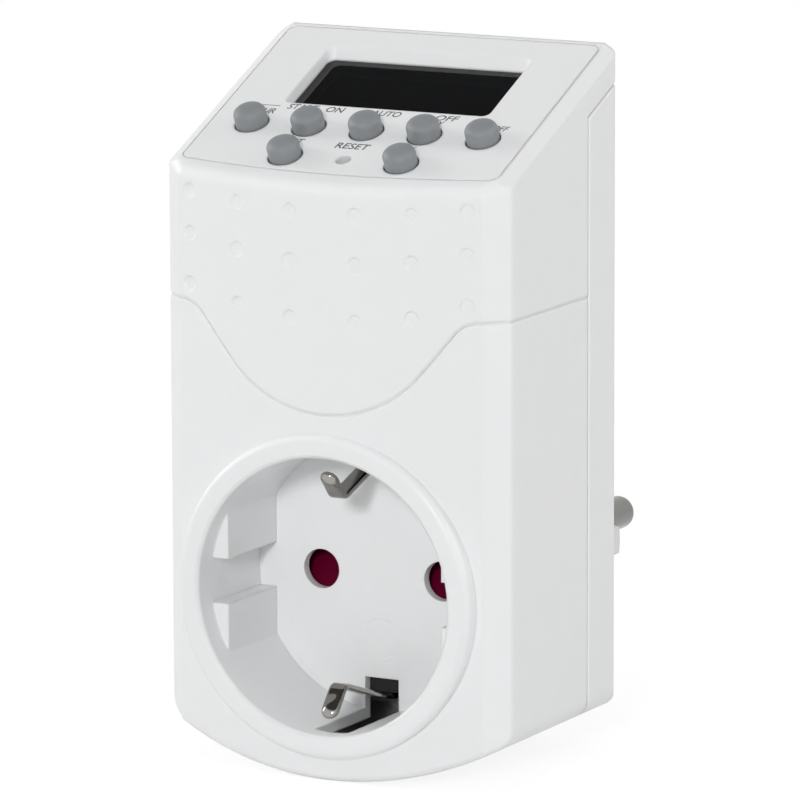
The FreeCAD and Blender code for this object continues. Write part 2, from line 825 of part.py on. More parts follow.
def keypad_mat():
    """Rubber mat with a skirt round each key post and an opening for the reset switch."""
    bottom = -board_depth
    top = bottom + mat_thickness
    mat = box(-board_half_width, board_half_width,
              mat_front_border - plate_front, mat_back_border - key_row_s, bottom, top)
    skirts = []
    wells = []
    for x, s in key_places():
        skirts.append(spool(x, -s, mat_skirt_radius + mat_skirt_wall, bottom, top + mat_skirt_height))
        wells.append(spool(x, -s, mat_skirt_radius, bottom - overshoot, top + mat_skirt_height + overshoot))
    wells.append(spool(0, -reset_s, mat_reset_opening, bottom - overshoot, top + overshoot))
    return on_panel(fused([mat] + skirts).cut(Part.makeCompound(wells)))


def reset_switch():
    half = reset_switch_size / 2
    body = box(-half, half, -reset_s - half, -reset_s + half, -board_depth, reset_switch_top)
    well = spool(0, -reset_s, reset_well_radius, reset_switch_top - reset_well_depth, overshoot)
    return on_panel(body.cut(well))


def reset_plunger():
    bottom = -reset_plunger_sunk - reset_plunger_length
    plunger = spool(0, -reset_s, reset_plunger_radius, bottom, -reset_plunger_sunk)
    rim = edges_where(plunger, lambda edge: edge.BoundBox.ZMin > bottom + reset_plunger_length / 2)
    return on_panel(plunger.makeChamfer(reset_plunger_round, rim))


# Display and control board

lens_bottom = -plate_thickness - lens_thickness
glass_middle = lens_bottom - glass_thickness
glass_bottom = glass_middle - glass_thickness
glass_front_s = window_front + lens_margin + glass_contact_ledge
strip_front_s = glass_front_s - frame_front_wall


def display_block(margin, h0, h1, front_s):
    half = window_width / 2 + margin
    return box(-half, half, -front_s, -window_top - lens_margin, h0, h1)


def lcd_window():
    return on_panel(display_block(lens_margin, lens_bottom, -plate_thickness, window_front + lens_margin))


def lcd_glass():
    """Display cell of two glass plates; the upper one overhangs in front to carry the contacts."""
    upper = display_block(lens_margin, glass_middle, lens_bottom, glass_front_s)
    lower = display_block(lens_margin, glass_bottom, glass_middle, glass_front_s - glass_step)
    return on_panel(upper.fuse(lower).removeSplitter())


def strip_block(clearance, h0, h1):
    """Room of the contact strip under the overhang of the upper glass."""
    half = window_width / 2 - strip_rubber_inset + clearance
    return box(-half, half, -strip_front_s - clearance,
               -strip_front_s + strip_rubber_width + clearance, h0, h1)


def lcd_frame():
    """Frame that carries the display cell on the board, open under the cell, slotted for the strip."""
    frame = display_block(frame_margin, -board_depth, glass_bottom, glass_front_s)
    half = window_width / 2 - frame_opening_inset
    opening = box(-half, half, frame_opening_setback - window_front,
                  -window_top - lens_margin - frame_margin,
                  -board_depth - overshoot, glass_bottom + overshoot)
    slot = strip_block(strip_rubber_clearance, -board_depth - overshoot, glass_bottom + overshoot)
    return on_panel(frame.cut(opening).cut(slot))


def contact_strip():
    return on_panel(strip_block(0, -board_depth, glass_middle))


def control_board():
    board = box(-board_half_width, board_half_width, -board_front_s, -board_top_s,
                -board_depth - board_thickness, -board_depth)
    holes = [spool(x, -s, small_screw_radius + screw_clearance, -reach, 0) for x, s in panel_screw_places()]
    return on_panel(board.cut(Part.makeCompound(holes)))


board_bottom = -board_depth - board_thickness


def microcontroller():
    """Round bead of potting compound over the bare chip, under the board."""
    bead = spool(controller_x, controller_front_border - plate_front, controller_radius,
                 board_bottom - controller_height, board_bottom)
    rim = edges_where(bead, lambda edge: edge.BoundBox.ZMax < board_bottom - controller_height / 2)
    return on_panel(bead.makeChamfer(controller_bevel, rim))


def crystal():
    centre = board_bottom - crystal_radius
    back = -plate_top - crystal_top_border
    can = Part.makeCylinder(crystal_radius, crystal_length, Vector(crystal_x, back, centre),
                            Vector(0, -1, 0))
    pad = box(crystal_x - crystal_radius / 2, crystal_x + crystal_radius / 2, back - crystal_length / 2,
              back - lead_radius, centre, board_bottom)
    return on_panel(can.fuse(pad).removeSplitter())


def backup_battery():
    """Coin cell with a solder tab on each side of its upper face."""
    top = board_bottom - battery_tab
    middle = battery_front_border - plate_front
    cell = spool(battery_x, middle, battery_radius, top - battery_height, top)
    half_tab = battery_tab_width / 2
    tabs = []
    for side in (1, -1):
        x = battery_x + side * battery_radius / 2
        tabs.append(box(x - half_tab, x + half_tab, middle - battery_radius / 2, middle, top, board_bottom))
    return on_panel(fused([cell] + tabs))


# Socket floor, shutter and carrier

shutter_front_y = floor_back_y + shutter_gap
shutter_back_y = shutter_front_y + shutter_thickness
carrier_y = shutter_back_y + shutter_gap
carrier_back_y = carrier_y + carrier_plate


def socket_floor():
    disc = rod(0, 0, socket_radius + socket_wall, floor_y, floor_back_y)
    ears = [rod(x, z, ear_radius, floor_y, floor_back_y) for x, z in ear_places()]
    cuts = [earth_slots()]
    for side in (1, -1):
        cuts.append(rod(side * pin_x, 0, socket_hole_radius, floor_y - overshoot, floor_back_y + overshoot))
    for x, z in ear_places():
        cuts.append(rod(x, z, small_screw_radius + screw_clearance,
                        floor_y - overshoot, floor_back_y + overshoot))
    return fused([disc] + ears).cut(Part.makeCompound(cuts))


def shutter():
    """Sliding shutter: a bridge with two wings, and a ramp across them that the plug's pins push down.

    The wings' outer corners follow the round room at rest and at the end of the travel.
    """
    front = shutter_front_y
    back = shutter_back_y
    half_bridge = shutter_bridge_height / 2
    low = -socket_hole_radius - shutter_overlap_below
    plate = box(-pin_x, pin_x, front, back, -half_bridge, half_bridge)
    for x in (-pin_x, pin_x):
        plate = plate.fuse(box(x - shutter_wing, x + shutter_wing, front, back, low, shutter_top))
    for height in (0, shutter_travel):
        plate = plate.common(rod(0, height, carrier_room_radius - shutter_gap, front, back))
    ramp_back = back - shutter_edge
    ramp = outline([(-reach, front, -shutter_ramp_drop), (-reach, front, shutter_top + overshoot),
                    (-reach, ramp_back, shutter_top + overshoot), (-reach, ramp_back, shutter_top)])
    return plate.cut(ramp.extrude(Vector(2 * reach, 0, 0))).removeSplitter()


def carrier_room(y0, y1):
    """Room in which the shutter slides down: flat guides beside it, stops above, spring seat below."""
    half = pin_x + shutter_wing + shutter_gap
    room = rod(0, 0, carrier_room_radius, y0, y1).common(box(-half, half, y0, y1, -reach, reach))
    seat = carrier_seat_half_width
    room = room.cut(box(-seat, seat, y0, y1, -reach, -carrier_seat_height))
    half_stop = carrier_stop_width / 2
    stop_low = shutter_top + shutter_gap
    for x in (-pin_x, pin_x):
        room = room.cut(box(x - half_stop, x + half_stop, y0, y1, stop_low, stop_low + carrier_stop_height))
    return room


def shutter_carrier():
    """Back plate with the pin passages and a raised rim that spaces it off the socket floor."""
    carrier = rod(0, 0, carrier_radius, floor_back_y, carrier_back_y)
    carrier = carrier.cut(carrier_room(floor_back_y, carrier_y))
    passages = [rod(side * pin_x, 0, carrier_hole_radius, -reach, 0) for side in (1, -1)]
    return carrier.cut(Part.makeCompound(passages))


def shutter_spring():
    """Return spring between the shutter's bridge and the carrier's seat, as its outer tube."""
    y = (shutter_front_y + shutter_back_y) / 2
    foot = Vector(0, y, -carrier_seat_height)
    height = carrier_seat_height - shutter_bridge_height / 2 - spring_seat_gap
    tube = Part.makeCylinder(spring_radius, height, foot)
    return tube.cut(Part.makeCylinder(spring_radius - spring_wire, height, foot))


# Contact metal

strap_y = inner_back_y - strap_back_gap


def rounded_nose(strip, y_limit, radius):
    """Round the two corners at the free end of a strip, which lie in front of y_limit."""
    corners = edges_where(strip, lambda edge: edge.BoundBox.YMax < y_limit
                          and edge.BoundBox.XLength < radius / 10)
    return strip.makeFillet(radius, corners)


def earth_strap():
    """One strip: a V-shaped clip in the socket above and below, joined behind the socket."""
    bend = clip_bend_inside + strip_thickness / 2
    upper = [(ring_y + clip_nose_setback, clip_nose_height), (ring_y + clip_bend_setback, bend),
             (floor_y, clip_root_height),
             (floor_back_y + socket_wall, clip_root_height + strip_thickness / 2),
             (strap_y, clip_root_height + strip_thickness / 2), (strap_y, 0)]
    strap = bent_strip(upper, clip_bend_radius, strip_thickness, clip_width, 0)
    strap = rounded_nose(strap, ring_y + clip_nose_setback + strip_thickness, clip_nose_round)
    return strap.fuse(strap.mirror(Vector(0, 0, 0), Vector(0, 0, 1))).removeSplitter()


def plug_earth_strips():
    """Two strips from the strap through the back wall along the channels of the boss."""
    middle = earth_channel_floor + strip_thickness / 2
    foot_y = strap_y + strip_thickness
    path = [(foot_y, middle - plug_strip_foot), (foot_y, middle), (-plug_strip_end_gap, middle)]
    strip = bent_strip(path, strap_bend_radius, strip_thickness, plug_strip_width, 0)
    return Part.makeCompound([strip, strip.mirror(Vector(0, 0, 0), Vector(0, 0, 1))])


def plug_pins():
    """Two solid pins with rounded tips, each with a neck through the end wall and a riveted end."""
    rivet_y = holder_y - strip_thickness
    tip_start = Vector(pin_radius, pin_length - pin_tip_round, 0)
    tip_end = Vector(0, pin_length, 0)
    tip = Part.BezierCurve()
    tip.setPoles([tip_start, Vector(pin_radius, pin_length - pin_tip_round / 4, 0),
                  Vector(pin_radius * 2 / 3, pin_length, 0), tip_end])
    corners = [tip_end, Vector(0, rivet_y - pin_rivet_height, 0),
               Vector(pin_rivet_radius, rivet_y - pin_rivet_height, 0), Vector(pin_rivet_radius, rivet_y, 0),
               Vector(pin_stem_radius, rivet_y, 0), Vector(pin_stem_radius, 0, 0),
               Vector(pin_radius, 0, 0), tip_start]
    wire = Part.Wire([Part.makePolygon(corners), tip.toShape()])
    pin = Part.Face(wire).revolve(Vector(0, 0, 0), Vector(0, 1, 0), 360)
    pins = []
    for side in (1, -1):
        placed = pin.copy()
        placed.translate(Vector(side * pin_x, 0, 0))
        pins.append(placed)
    return Part.makeCompound(pins)


holder_y = -boss_end_wall - holder_thickness


def pin_holder():
    """Insulating plate behind the end wall that spreads the load of the riveted pins."""
    slab = box(-reach, reach, holder_y, holder_y + holder_thickness, -reach, reach)
    plate = boss_void(holder_gap).common(slab)
    for side in (1, -1):
        plate = plate.cut(rod(side * pin_x, 0, pin_stem_radius + thread_play, -reach, 0))
    return plate


def socket_contact(side):
    """Sprung socket contact: a U of sheet metal round the pin, with a tail up to the power board."""
    inner = pin_radius + contact_play
    outer = inner + contact_thickness
    low = -contact_height / 2
    high = contact_height / 2 + contact_thickness
    back = carrier_back_y + contact_depth
    fork = box(-outer, outer, carrier_back_y, back, low, high)
    fork = fork.cut(box(-inner, inner, carrier_back_y - overshoot, back + overshoot, low - overshoot,
                        high - contact_thickness))
    half_tail = contact_tail_width / 2
    tail = box(-half_tail, half_tail, power_board_y - contact_thickness, power_board_y,
               high - contact_thickness, power_board_bottom + tail_lap)
    contact = fused([fork, tail])
    contact.translate(Vector(side * pin_x, 0, 0))
    return contact


def feed_strip(side):
    """Strip from a plug pin's rivet up to the back of the power board."""
    flat_y = holder_y - strip_thickness / 2
    board_y = power_board_y + power_board_thickness + strip_thickness / 2
    path = [(flat_y, -feed_strip_foot), (flat_y, feed_strip_height), (board_y, feed_strip_height),
            (board_y, power_board_bottom + feed_strip_lap)]
    strip = bent_strip(path, strap_bend_radius, strip_thickness, feed_strip_width, side * pin_x)
    return strip.cut(rod(side * pin_x, 0, pin_stem_radius + thread_play, -reach, 0))


# Power board

def power_board():
    return box(-power_board_half_width, power_board_half_width, power_board_y,
               power_board_y + power_board_thickness, power_board_bottom, power_board_top)


def board_block(left, up, size):
    """Component case on the board with its free edges bevelled."""
    width, depth, height = size
    z = power_board_bottom + up
    block = box(left, left + width, power_board_y - depth, power_board_y, z, z + height)
    free = edges_where(block, lambda edge: edge.BoundBox.YMin < power_board_y - component_bevel)
    return block.makeChamfer(component_bevel, free)


def relay():
    return board_block(relay_inset - power_board_half_width, relay_up, relay_size)


def x2_capacitor():
    left = power_board_half_width - capacitor_inset - capacitor_size[0]
    return board_block(left, capacitor_up, capacitor_size)


def bridge_rectifier():
    return board_block(power_board_half_width - bridge_inset - bridge_size[0], bridge_up, bridge_size)


def smoothing_capacitor():
    top = power_board_y - electrolytic_length
    can = rod(power_board_half_width - electrolytic_inset, power_board_bottom + electrolytic_up,
              electrolytic_radius, top, power_board_y)
    rim = edges_where(can, lambda edge: edge.BoundBox.YMax < top + component_bevel)
    return can.makeChamfer(component_bevel, rim)


def round_rims(cylinder):
    return edges_where(cylinder, lambda edge: len(edge.Vertexes) == 1)


def lead(x, z, y0):
    return rod(x, z, lead_radius, y0, power_board_y)


def varistor():
    """Coated disc that stands off the board on two leads."""
    x = power_board_half_width - varistor_inset
    z = power_board_top - varistor_drop
    stand = power_board_y - varistor_radius - varistor_stand
    disc = Part.makeCylinder(varistor_radius, varistor_thickness,
                             Vector(x - varistor_thickness / 2, stand, z), Vector(1, 0, 0))
    disc = disc.makeChamfer(component_bevel, round_rims(disc))
    leads = [lead(x, z + side * varistor_radius / 2, stand) for side in (1, -1)]
    return fused([disc] + leads)


def dropper_resistor():
    """Wire-ended resistor that lies along the board with both leads bent down to it."""
    x = resistor_inset - power_board_half_width
    z = power_board_bottom + resistor_up
    y = power_board_y - resistor_radius - resistor_stand
    body = Part.makeCylinder(resistor_radius, resistor_length, Vector(x, y, z), Vector(1, 0, 0))
    body = body.makeChamfer(component_bevel, round_rims(body))
    wire = Part.makeCylinder(lead_radius, resistor_length + 2 * resistor_lead_reach,
                             Vector(x - resistor_lead_reach, y, z), Vector(1, 0, 0))
    legs = [lead(x - resistor_lead_reach + lead_radius, z, y),
            lead(x + resistor_length + resistor_lead_reach - lead_radius, z, y)]
    return fused([body, wire] + legs)


def ribbon_cable():
    """Flat ribbon from the underside of the control board to the face of the power board."""
    y = power_board_y - ribbon_reach
    s = (back_y - board_bottom * math.sin(slope) - y) / math.cos(slope)
    top = panel_point(s, board_bottom)[1]
    path = [(y, top + ribbon_thickness), (y, top - ribbon_fall), (power_board_y, top - ribbon_fall)]
    ribbon = bent_strip(path, ribbon_bend_radius, ribbon_thickness, ribbon_width, ribbon_x)
    return ribbon.common(roof_prism(-board_bottom))


# Screws

def screw(radius, length, head_radius, head_height):
    """Pan-head screw along Y, its shank towards -Y and the underside of its head at y = 0."""
    shank = rod(0, 0, radius, -length, 0)
    head = rod(0, 0, head_radius, 0, head_height)
    rim = edges_where(head, lambda edge: edge.BoundBox.YMin > head_height / 2)
    head = head.makeChamfer(head_height / 3, rim)
    return shank.fuse(head).removeSplitter()


def case_screws():
    screws = []
    for height in pillar_heights:
        for side in (1, -1):
            placed = screw(case_screw_radius, case_screw_length, case_screw_head_radius,
                           case_screw_head_height)
            seat_y = back_y - case_screw_sunk - case_screw_head_height
            placed.translate(Vector(side * pillar_x, seat_y, height))
            screws.append(placed)
    return Part.makeCompound(screws)


def floor_screws():
    screws = []
    for x, z in ear_places():
        placed = screw(small_screw_radius, ear_screw_length, small_screw_head_radius,
                       small_screw_head_height)
        placed.translate(Vector(x, floor_back_y, z))
        screws.append(placed)
    return Part.makeCompound(screws)


def board_screws():
    screws = []
    for x, s in panel_screw_places():
        placed = screw(small_screw_radius, board_depth - plate_thickness, small_screw_head_radius,
                       small_screw_head_height)
        placed.rotate(Vector(0, 0, 0), Vector(1, 0, 0), -90)
        placed.translate(Vector(x, -s, board_bottom))
        screws.append(on_panel(placed))
    return Part.makeCompound(screws)


def model():
    nodes = {
        "lower_cover": lower_cover(),
        "upper_cover": upper_cover(),
        "rear_cover": rear_cover(),
        "faceplate": faceplate(),
        "socket_floor": socket_floor(),
        "shutter": shutter(),
        "shutter_carrier": shutter_carrier(),
        "shutter_spring": shutter_spring(),
        "earth_strap": earth_strap(),
        "plug_earth_strips": plug_earth_strips(),
        "plug_pins": plug_pins(),
        "pin_holder": pin_holder(),
        "contact_line": socket_contact(-1),
        "contact_neutral": socket_contact(1),
        "feed_strip_line": feed_strip(-1),
        "feed_strip_neutral": feed_strip(1),
        "keypad_mat": keypad_mat(),
        "reset_switch": reset_switch(),
        "reset_plunger": reset_plunger(),
        "lcd_window": lcd_window(),
        "lcd_glass": lcd_glass(),
        "lcd_frame": lcd_frame(),
        "contact_strip": contact_strip(),
        "control_board": control_board(),
        "microcontroller": microcontroller(),
        "crystal": crystal(),
        "backup_battery": backup_battery(),
        "power_board": power_board(),
        "relay": relay(),
        "x2_capacitor": x2_capacitor(),
        "bridge_rectifier": bridge_rectifier(),
        "smoothing_capacitor": smoothing_capacitor(),
        "varistor": varistor(),
        "dropper_resistor": dropper_resistor(),
        "ribbon_cable": ribbon_cable(),
        "case_screws": case_screws(),
        "floor_screws": floor_screws(),
        "board_screws": board_screws(),
    }
    for number, (x, s) in enumerate(key_places(), start=1):
        nodes[f"key_{number}"] = key(x, s)
    return nodes


os.makedirs("parts", exist_ok=True)
for name, shape in model().items():
    shape.exportStep(f"parts/{name}.step")
    print(name, len(shape.Solids), round(shape.Volume, 1), shape.isValid())
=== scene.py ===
"""Plug-in timer: the finishes of its pieces, the fine pieces over them, and a plain studio.

Lengths are metres and the frame is the model's own: +Y runs along the plug pins into the wall,
+Z is up and +X is right, with the origin between the pins on the end face of the plug boss.
"""
from __future__ import annotations

import itertools
import json
import logging
import math
from dataclasses import dataclass, replace
from enum import Enum

import bmesh
import bpy
import numpy as np
from mathutils import Matrix, Vector

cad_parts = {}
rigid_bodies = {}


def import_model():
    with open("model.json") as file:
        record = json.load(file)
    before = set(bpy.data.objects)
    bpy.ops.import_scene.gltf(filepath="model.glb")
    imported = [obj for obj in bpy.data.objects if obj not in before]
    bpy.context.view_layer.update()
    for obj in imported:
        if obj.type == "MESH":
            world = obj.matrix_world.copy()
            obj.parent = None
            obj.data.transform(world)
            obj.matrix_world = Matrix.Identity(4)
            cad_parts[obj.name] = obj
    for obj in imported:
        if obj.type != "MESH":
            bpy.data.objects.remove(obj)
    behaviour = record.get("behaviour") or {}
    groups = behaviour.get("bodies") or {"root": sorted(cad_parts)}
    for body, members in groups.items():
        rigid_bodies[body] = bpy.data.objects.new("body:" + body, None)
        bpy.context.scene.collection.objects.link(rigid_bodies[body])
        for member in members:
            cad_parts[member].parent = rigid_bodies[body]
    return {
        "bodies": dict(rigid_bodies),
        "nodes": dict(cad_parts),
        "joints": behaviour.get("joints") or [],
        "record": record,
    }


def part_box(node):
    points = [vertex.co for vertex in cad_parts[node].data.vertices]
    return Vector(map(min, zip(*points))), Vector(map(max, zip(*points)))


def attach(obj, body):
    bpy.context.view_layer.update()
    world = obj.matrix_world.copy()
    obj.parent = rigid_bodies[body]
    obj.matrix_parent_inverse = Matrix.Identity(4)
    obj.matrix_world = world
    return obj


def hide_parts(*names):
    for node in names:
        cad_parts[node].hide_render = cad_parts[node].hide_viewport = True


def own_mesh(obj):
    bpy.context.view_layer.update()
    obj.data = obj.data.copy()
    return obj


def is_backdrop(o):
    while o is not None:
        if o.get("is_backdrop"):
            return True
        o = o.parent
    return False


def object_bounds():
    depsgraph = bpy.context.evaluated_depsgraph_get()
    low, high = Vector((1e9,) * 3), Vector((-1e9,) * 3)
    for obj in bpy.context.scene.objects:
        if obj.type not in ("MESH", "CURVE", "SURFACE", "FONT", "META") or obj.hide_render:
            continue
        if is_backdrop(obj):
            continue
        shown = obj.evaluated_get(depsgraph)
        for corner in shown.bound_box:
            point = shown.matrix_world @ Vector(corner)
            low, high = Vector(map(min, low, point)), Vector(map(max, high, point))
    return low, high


MM = 0.001
WELD_DISTANCE = 1e-7
SHARP_DEGREES = 35.0
BOX_FACES = [[0, 1, 3, 2], [4, 6, 7, 5], [0, 4, 5, 1], [2, 3, 7, 6], [0, 2, 6, 4], [1, 5, 7, 3]]
Colour = tuple[float, float, float]
log = logging.getLogger("timer")


class Body(Enum):
    """Bodies that the new pieces ride on."""

    ROOT = "root"


class Grain(Enum):
    """How a mould or a die leaves a surface: grains per metre and depth of the relief in metres."""

    POLISHED = (2500.0, 0.000001)
    FINE = (6000.0, 0.000004)
    SATIN = (9000.0, 0.000008)
    COARSE = (4000.0, 0.000015)

    @property
    def scale(self) -> float:
        """Grains per metre."""
        return self.value[0]

    @property
    def depth(self) -> float:
        """Depth of the relief in metres."""
        return self.value[1]


# Mesh helpers

def grid_faces(rows: int, columns: int) -> np.ndarray:
    """Quads of a grid of points, row by row.

    Args:
        rows: number of points along the first parameter.
        columns: number of points along the second parameter.

    Returns:
        An array of quads, each four point numbers that turn the same way.
    """
    row, column = np.meshgrid(np.arange(rows - 1), np.arange(columns - 1), indexing="ij")
    first = (row * columns + column).ravel()
    return np.stack([first, first + 1, first + columns + 1, first + columns], axis=1)


def surface_mesh(name: str, grids: list[np.ndarray]) -> bpy.types.Mesh:
    """Join grids of points into one mesh with closed seams and poles and outward normals.

    Args:
        name: name of the mesh.
        grids: arrays of shape (rows, columns, 3), in metres.

    Returns:
        The mesh, welded where the points of the grids meet.
    """
    points: list[np.ndarray] = []
    faces: list[np.ndarray] = []
    count = 0
    for grid in grids:
        rows, columns, _ = grid.shape
        points.append(grid.reshape(-1, 3))
        faces.append(grid_faces(rows, columns) + count)
        count += rows * columns
    mesh = bpy.data.meshes.new(name)
    mesh.from_pydata(np.concatenate(points).tolist(), [], np.concatenate(faces).tolist())
    shape = bmesh.new()
    shape.from_mesh(mesh)
    bmesh.ops.remove_doubles(shape, verts=shape.verts, dist=WELD_DISTANCE)
    bmesh.ops.dissolve_degenerate(shape, edges=shape.edges, dist=WELD_DISTANCE)
    bmesh.ops.recalc_face_normals(shape, faces=shape.faces)
    shape.to_mesh(mesh)
    shape.free()
    return mesh


def add_piece(name: str, mesh: bpy.types.Mesh, material: bpy.types.Material,
              body: Body = Body.ROOT) -> bpy.types.Object:
    """Put a mesh into the scene as a finished piece that rides on a body.

    Args:
        name: name of the piece.
        mesh: its mesh, already in place.
        material: its finish.
        body: the body that it moves with.

    Returns:
        The new object, at the origin.
    """
    mesh.materials.clear()
    mesh.materials.append(material)
    mesh.shade_smooth()
    mesh.set_sharp_from_angle(angle=math.radians(SHARP_DEGREES))
    piece = bpy.data.objects.new(name, mesh)
    bpy.context.scene.collection.objects.link(piece)
    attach(piece, body.value)
    log.info("%s: %d faces on %s", name, len(mesh.polygons), body.value)
    return piece


def mesh_points(mesh: bpy.types.Mesh) -> np.ndarray:
    """Read the points of a mesh.

    Args:
        mesh: the mesh.

    Returns:
        Its points, one in each row.
    """
    points = np.empty(len(mesh.vertices) * 3)
    mesh.vertices.foreach_get("co", points)
    return points.reshape(-1, 3)


def smooth_step(low: float, high: float, value: np.ndarray) -> np.ndarray:
    """Value 0 below low and 1 above high, with a smooth cubic rise between them."""
    share = np.clip((value - low) / (high - low), 0.0, 1.0)
    return share * share * (3.0 - 2.0 * share)


def unit_rows(rows: np.ndarray) -> np.ndarray:
    """Vectors, one in each row, shortened or stretched to a length of one."""
    return rows / np.linalg.norm(rows, axis=1)[:, None]


def run_along(line: np.ndarray) -> np.ndarray:
    """Distance of each point of a line from its start, along the line."""
    return np.concatenate([[0.0], np.cumsum(np.linalg.norm(np.diff(line, axis=0), axis=1))])


def points_at(line: np.ndarray, stations: np.ndarray) -> np.ndarray:
    """Points of a flat line at given distances along it, on the straight runs between its own points."""
    along = run_along(line)
    return np.stack([np.interp(stations, along, line[:, axis]) for axis in (0, 1)], axis=1)


def direction(azimuth: float, elevation: float) -> Vector:
    """Unit vector from the timer, by degrees to the right of its front and degrees up."""
    right, up = math.radians(azimuth), math.radians(elevation)
    return Vector((math.sin(right) * math.cos(up), -math.cos(right) * math.cos(up), math.sin(up)))


# Shader helpers and shared effects

class Tree:
    """A node tree with short calls for adding nodes and linking them."""

    MIX_COLOURS = (6, 7)
    MIX_RESULT = 2

    def __init__(self, tree: bpy.types.NodeTree) -> None:
        """Keep the tree that the nodes go into."""
        self.tree = tree

    def add(self, kind: str, **settings: object) -> bpy.types.Node:
        """Add a node and give its own properties their values.

        Args:
            kind: the node's type name.
            settings: properties of the node.

        Returns:
            The new node.
        """
        node = self.tree.nodes.new(kind)
        for key, value in settings.items():
            setattr(node, key, value)
        return node

    def feed(self, target: bpy.types.NodeSocket, source: object) -> None:
        """Link a socket to another one, or set it to a plain value.

        Args:
            target: the input.
            source: a socket or a value.
        """
        if isinstance(source, bpy.types.NodeSocket):
            self.tree.links.new(source, target)
        else:
            target.default_value = source

    def math(self, operation: str, *values: object) -> bpy.types.NodeSocket:
        """Add a math node.

        Args:
            operation: what the node works out.
            values: sockets or numbers for its inputs, in order.

        Returns:
            Its output.
        """
        node = self.add("ShaderNodeMath", operation=operation)
        for socket, value in zip(node.inputs, values):
            self.feed(socket, value)
        return node.outputs[0]

    def noise(self, vector: bpy.types.NodeSocket, scale: object, detail: float, roughness: float = 0.5
              ) -> bpy.types.NodeSocket:
        """Add a noise texture.

        Args:
            vector: the place that it reads.
            scale: its scale, a socket or a number.
            detail: how many finer layers it adds.
            roughness: how strong the finer layers are.

        Returns:
            Its value.
        """
        node = self.add("ShaderNodeTexNoise")
        self.feed(node.inputs["Vector"], vector)
        self.feed(node.inputs["Scale"], scale)
        node.inputs["Detail"].default_value = detail
        node.inputs["Roughness"].default_value = roughness
        return node.outputs["Fac"]

    def ranged(self, value: bpy.types.NodeSocket, low: object, high: object, to_low: object = 0.0,
               to_high: object = 1.0) -> bpy.types.NodeSocket:
        """Map a value from one range to another with clamped, smooth ends.

        Args:
            value: the value.
            low: where its range starts.
            high: where its range ends.
            to_low: the result at the start.
            to_high: the result at the end.

        Returns:
            The result.
        """
        node = self.add("ShaderNodeMapRange", interpolation_type="SMOOTHSTEP")
        for socket, entry in zip(node.inputs, (value, low, high, to_low, to_high)):
            self.feed(socket, entry)
        return node.outputs[0]

    def mix(self, share: object, first: object, second: object) -> bpy.types.NodeSocket:
        """Mix two colours.

        Args:
            share: share of the second colour.
            first: the first colour.
            second: the second colour.

        Returns:
            The mixed colour.
        """
        node = self.add("ShaderNodeMix", data_type="RGBA")
        self.feed(node.inputs[0], share)
        for index, colour in zip(self.MIX_COLOURS, (first, second)):
            self.feed(node.inputs[index], colour)
        return node.outputs[self.MIX_RESULT]

    def place(self) -> bpy.types.NodeSocket:
        """Object coordinates of the shaded point."""
        return self.add("ShaderNodeTexCoord").outputs["Object"]

    def group(self, effect: bpy.types.NodeTree, **values: object) -> bpy.types.Node:
        """Add a shared effect.

        Args:
            effect: the effect's group.
            values: its input values, where a name's underscores stand for spaces.

        Returns:
            The new node.
        """
        node = self.add("ShaderNodeGroup", node_tree=effect)
        for key, value in values.items():
            self.feed(node.inputs[key.replace("_", " ")], value)
        return node


def new_effect(name: str, inputs: dict[str, float], outputs: dict[str, str]
               ) -> tuple[Tree, bpy.types.Node, bpy.types.Node]:
    """Start a shared effect.

    Args:
        name: name of the group.
        inputs: float inputs with their default values.
        outputs: outputs with the socket type of each.

    Returns:
        The tree, its input node and its output node.
    """
    effect = bpy.data.node_groups.new(name, "ShaderNodeTree")
    for key, value in inputs.items():
        socket = effect.interface.new_socket(key, in_out="INPUT", socket_type="NodeSocketFloat")
        socket.default_value = value
    for key, kind in outputs.items():
        effect.interface.new_socket(key, in_out="OUTPUT", socket_type=kind)
    tree = Tree(effect)
    return tree, tree.add("NodeGroupInput"), tree.add("NodeGroupOutput")


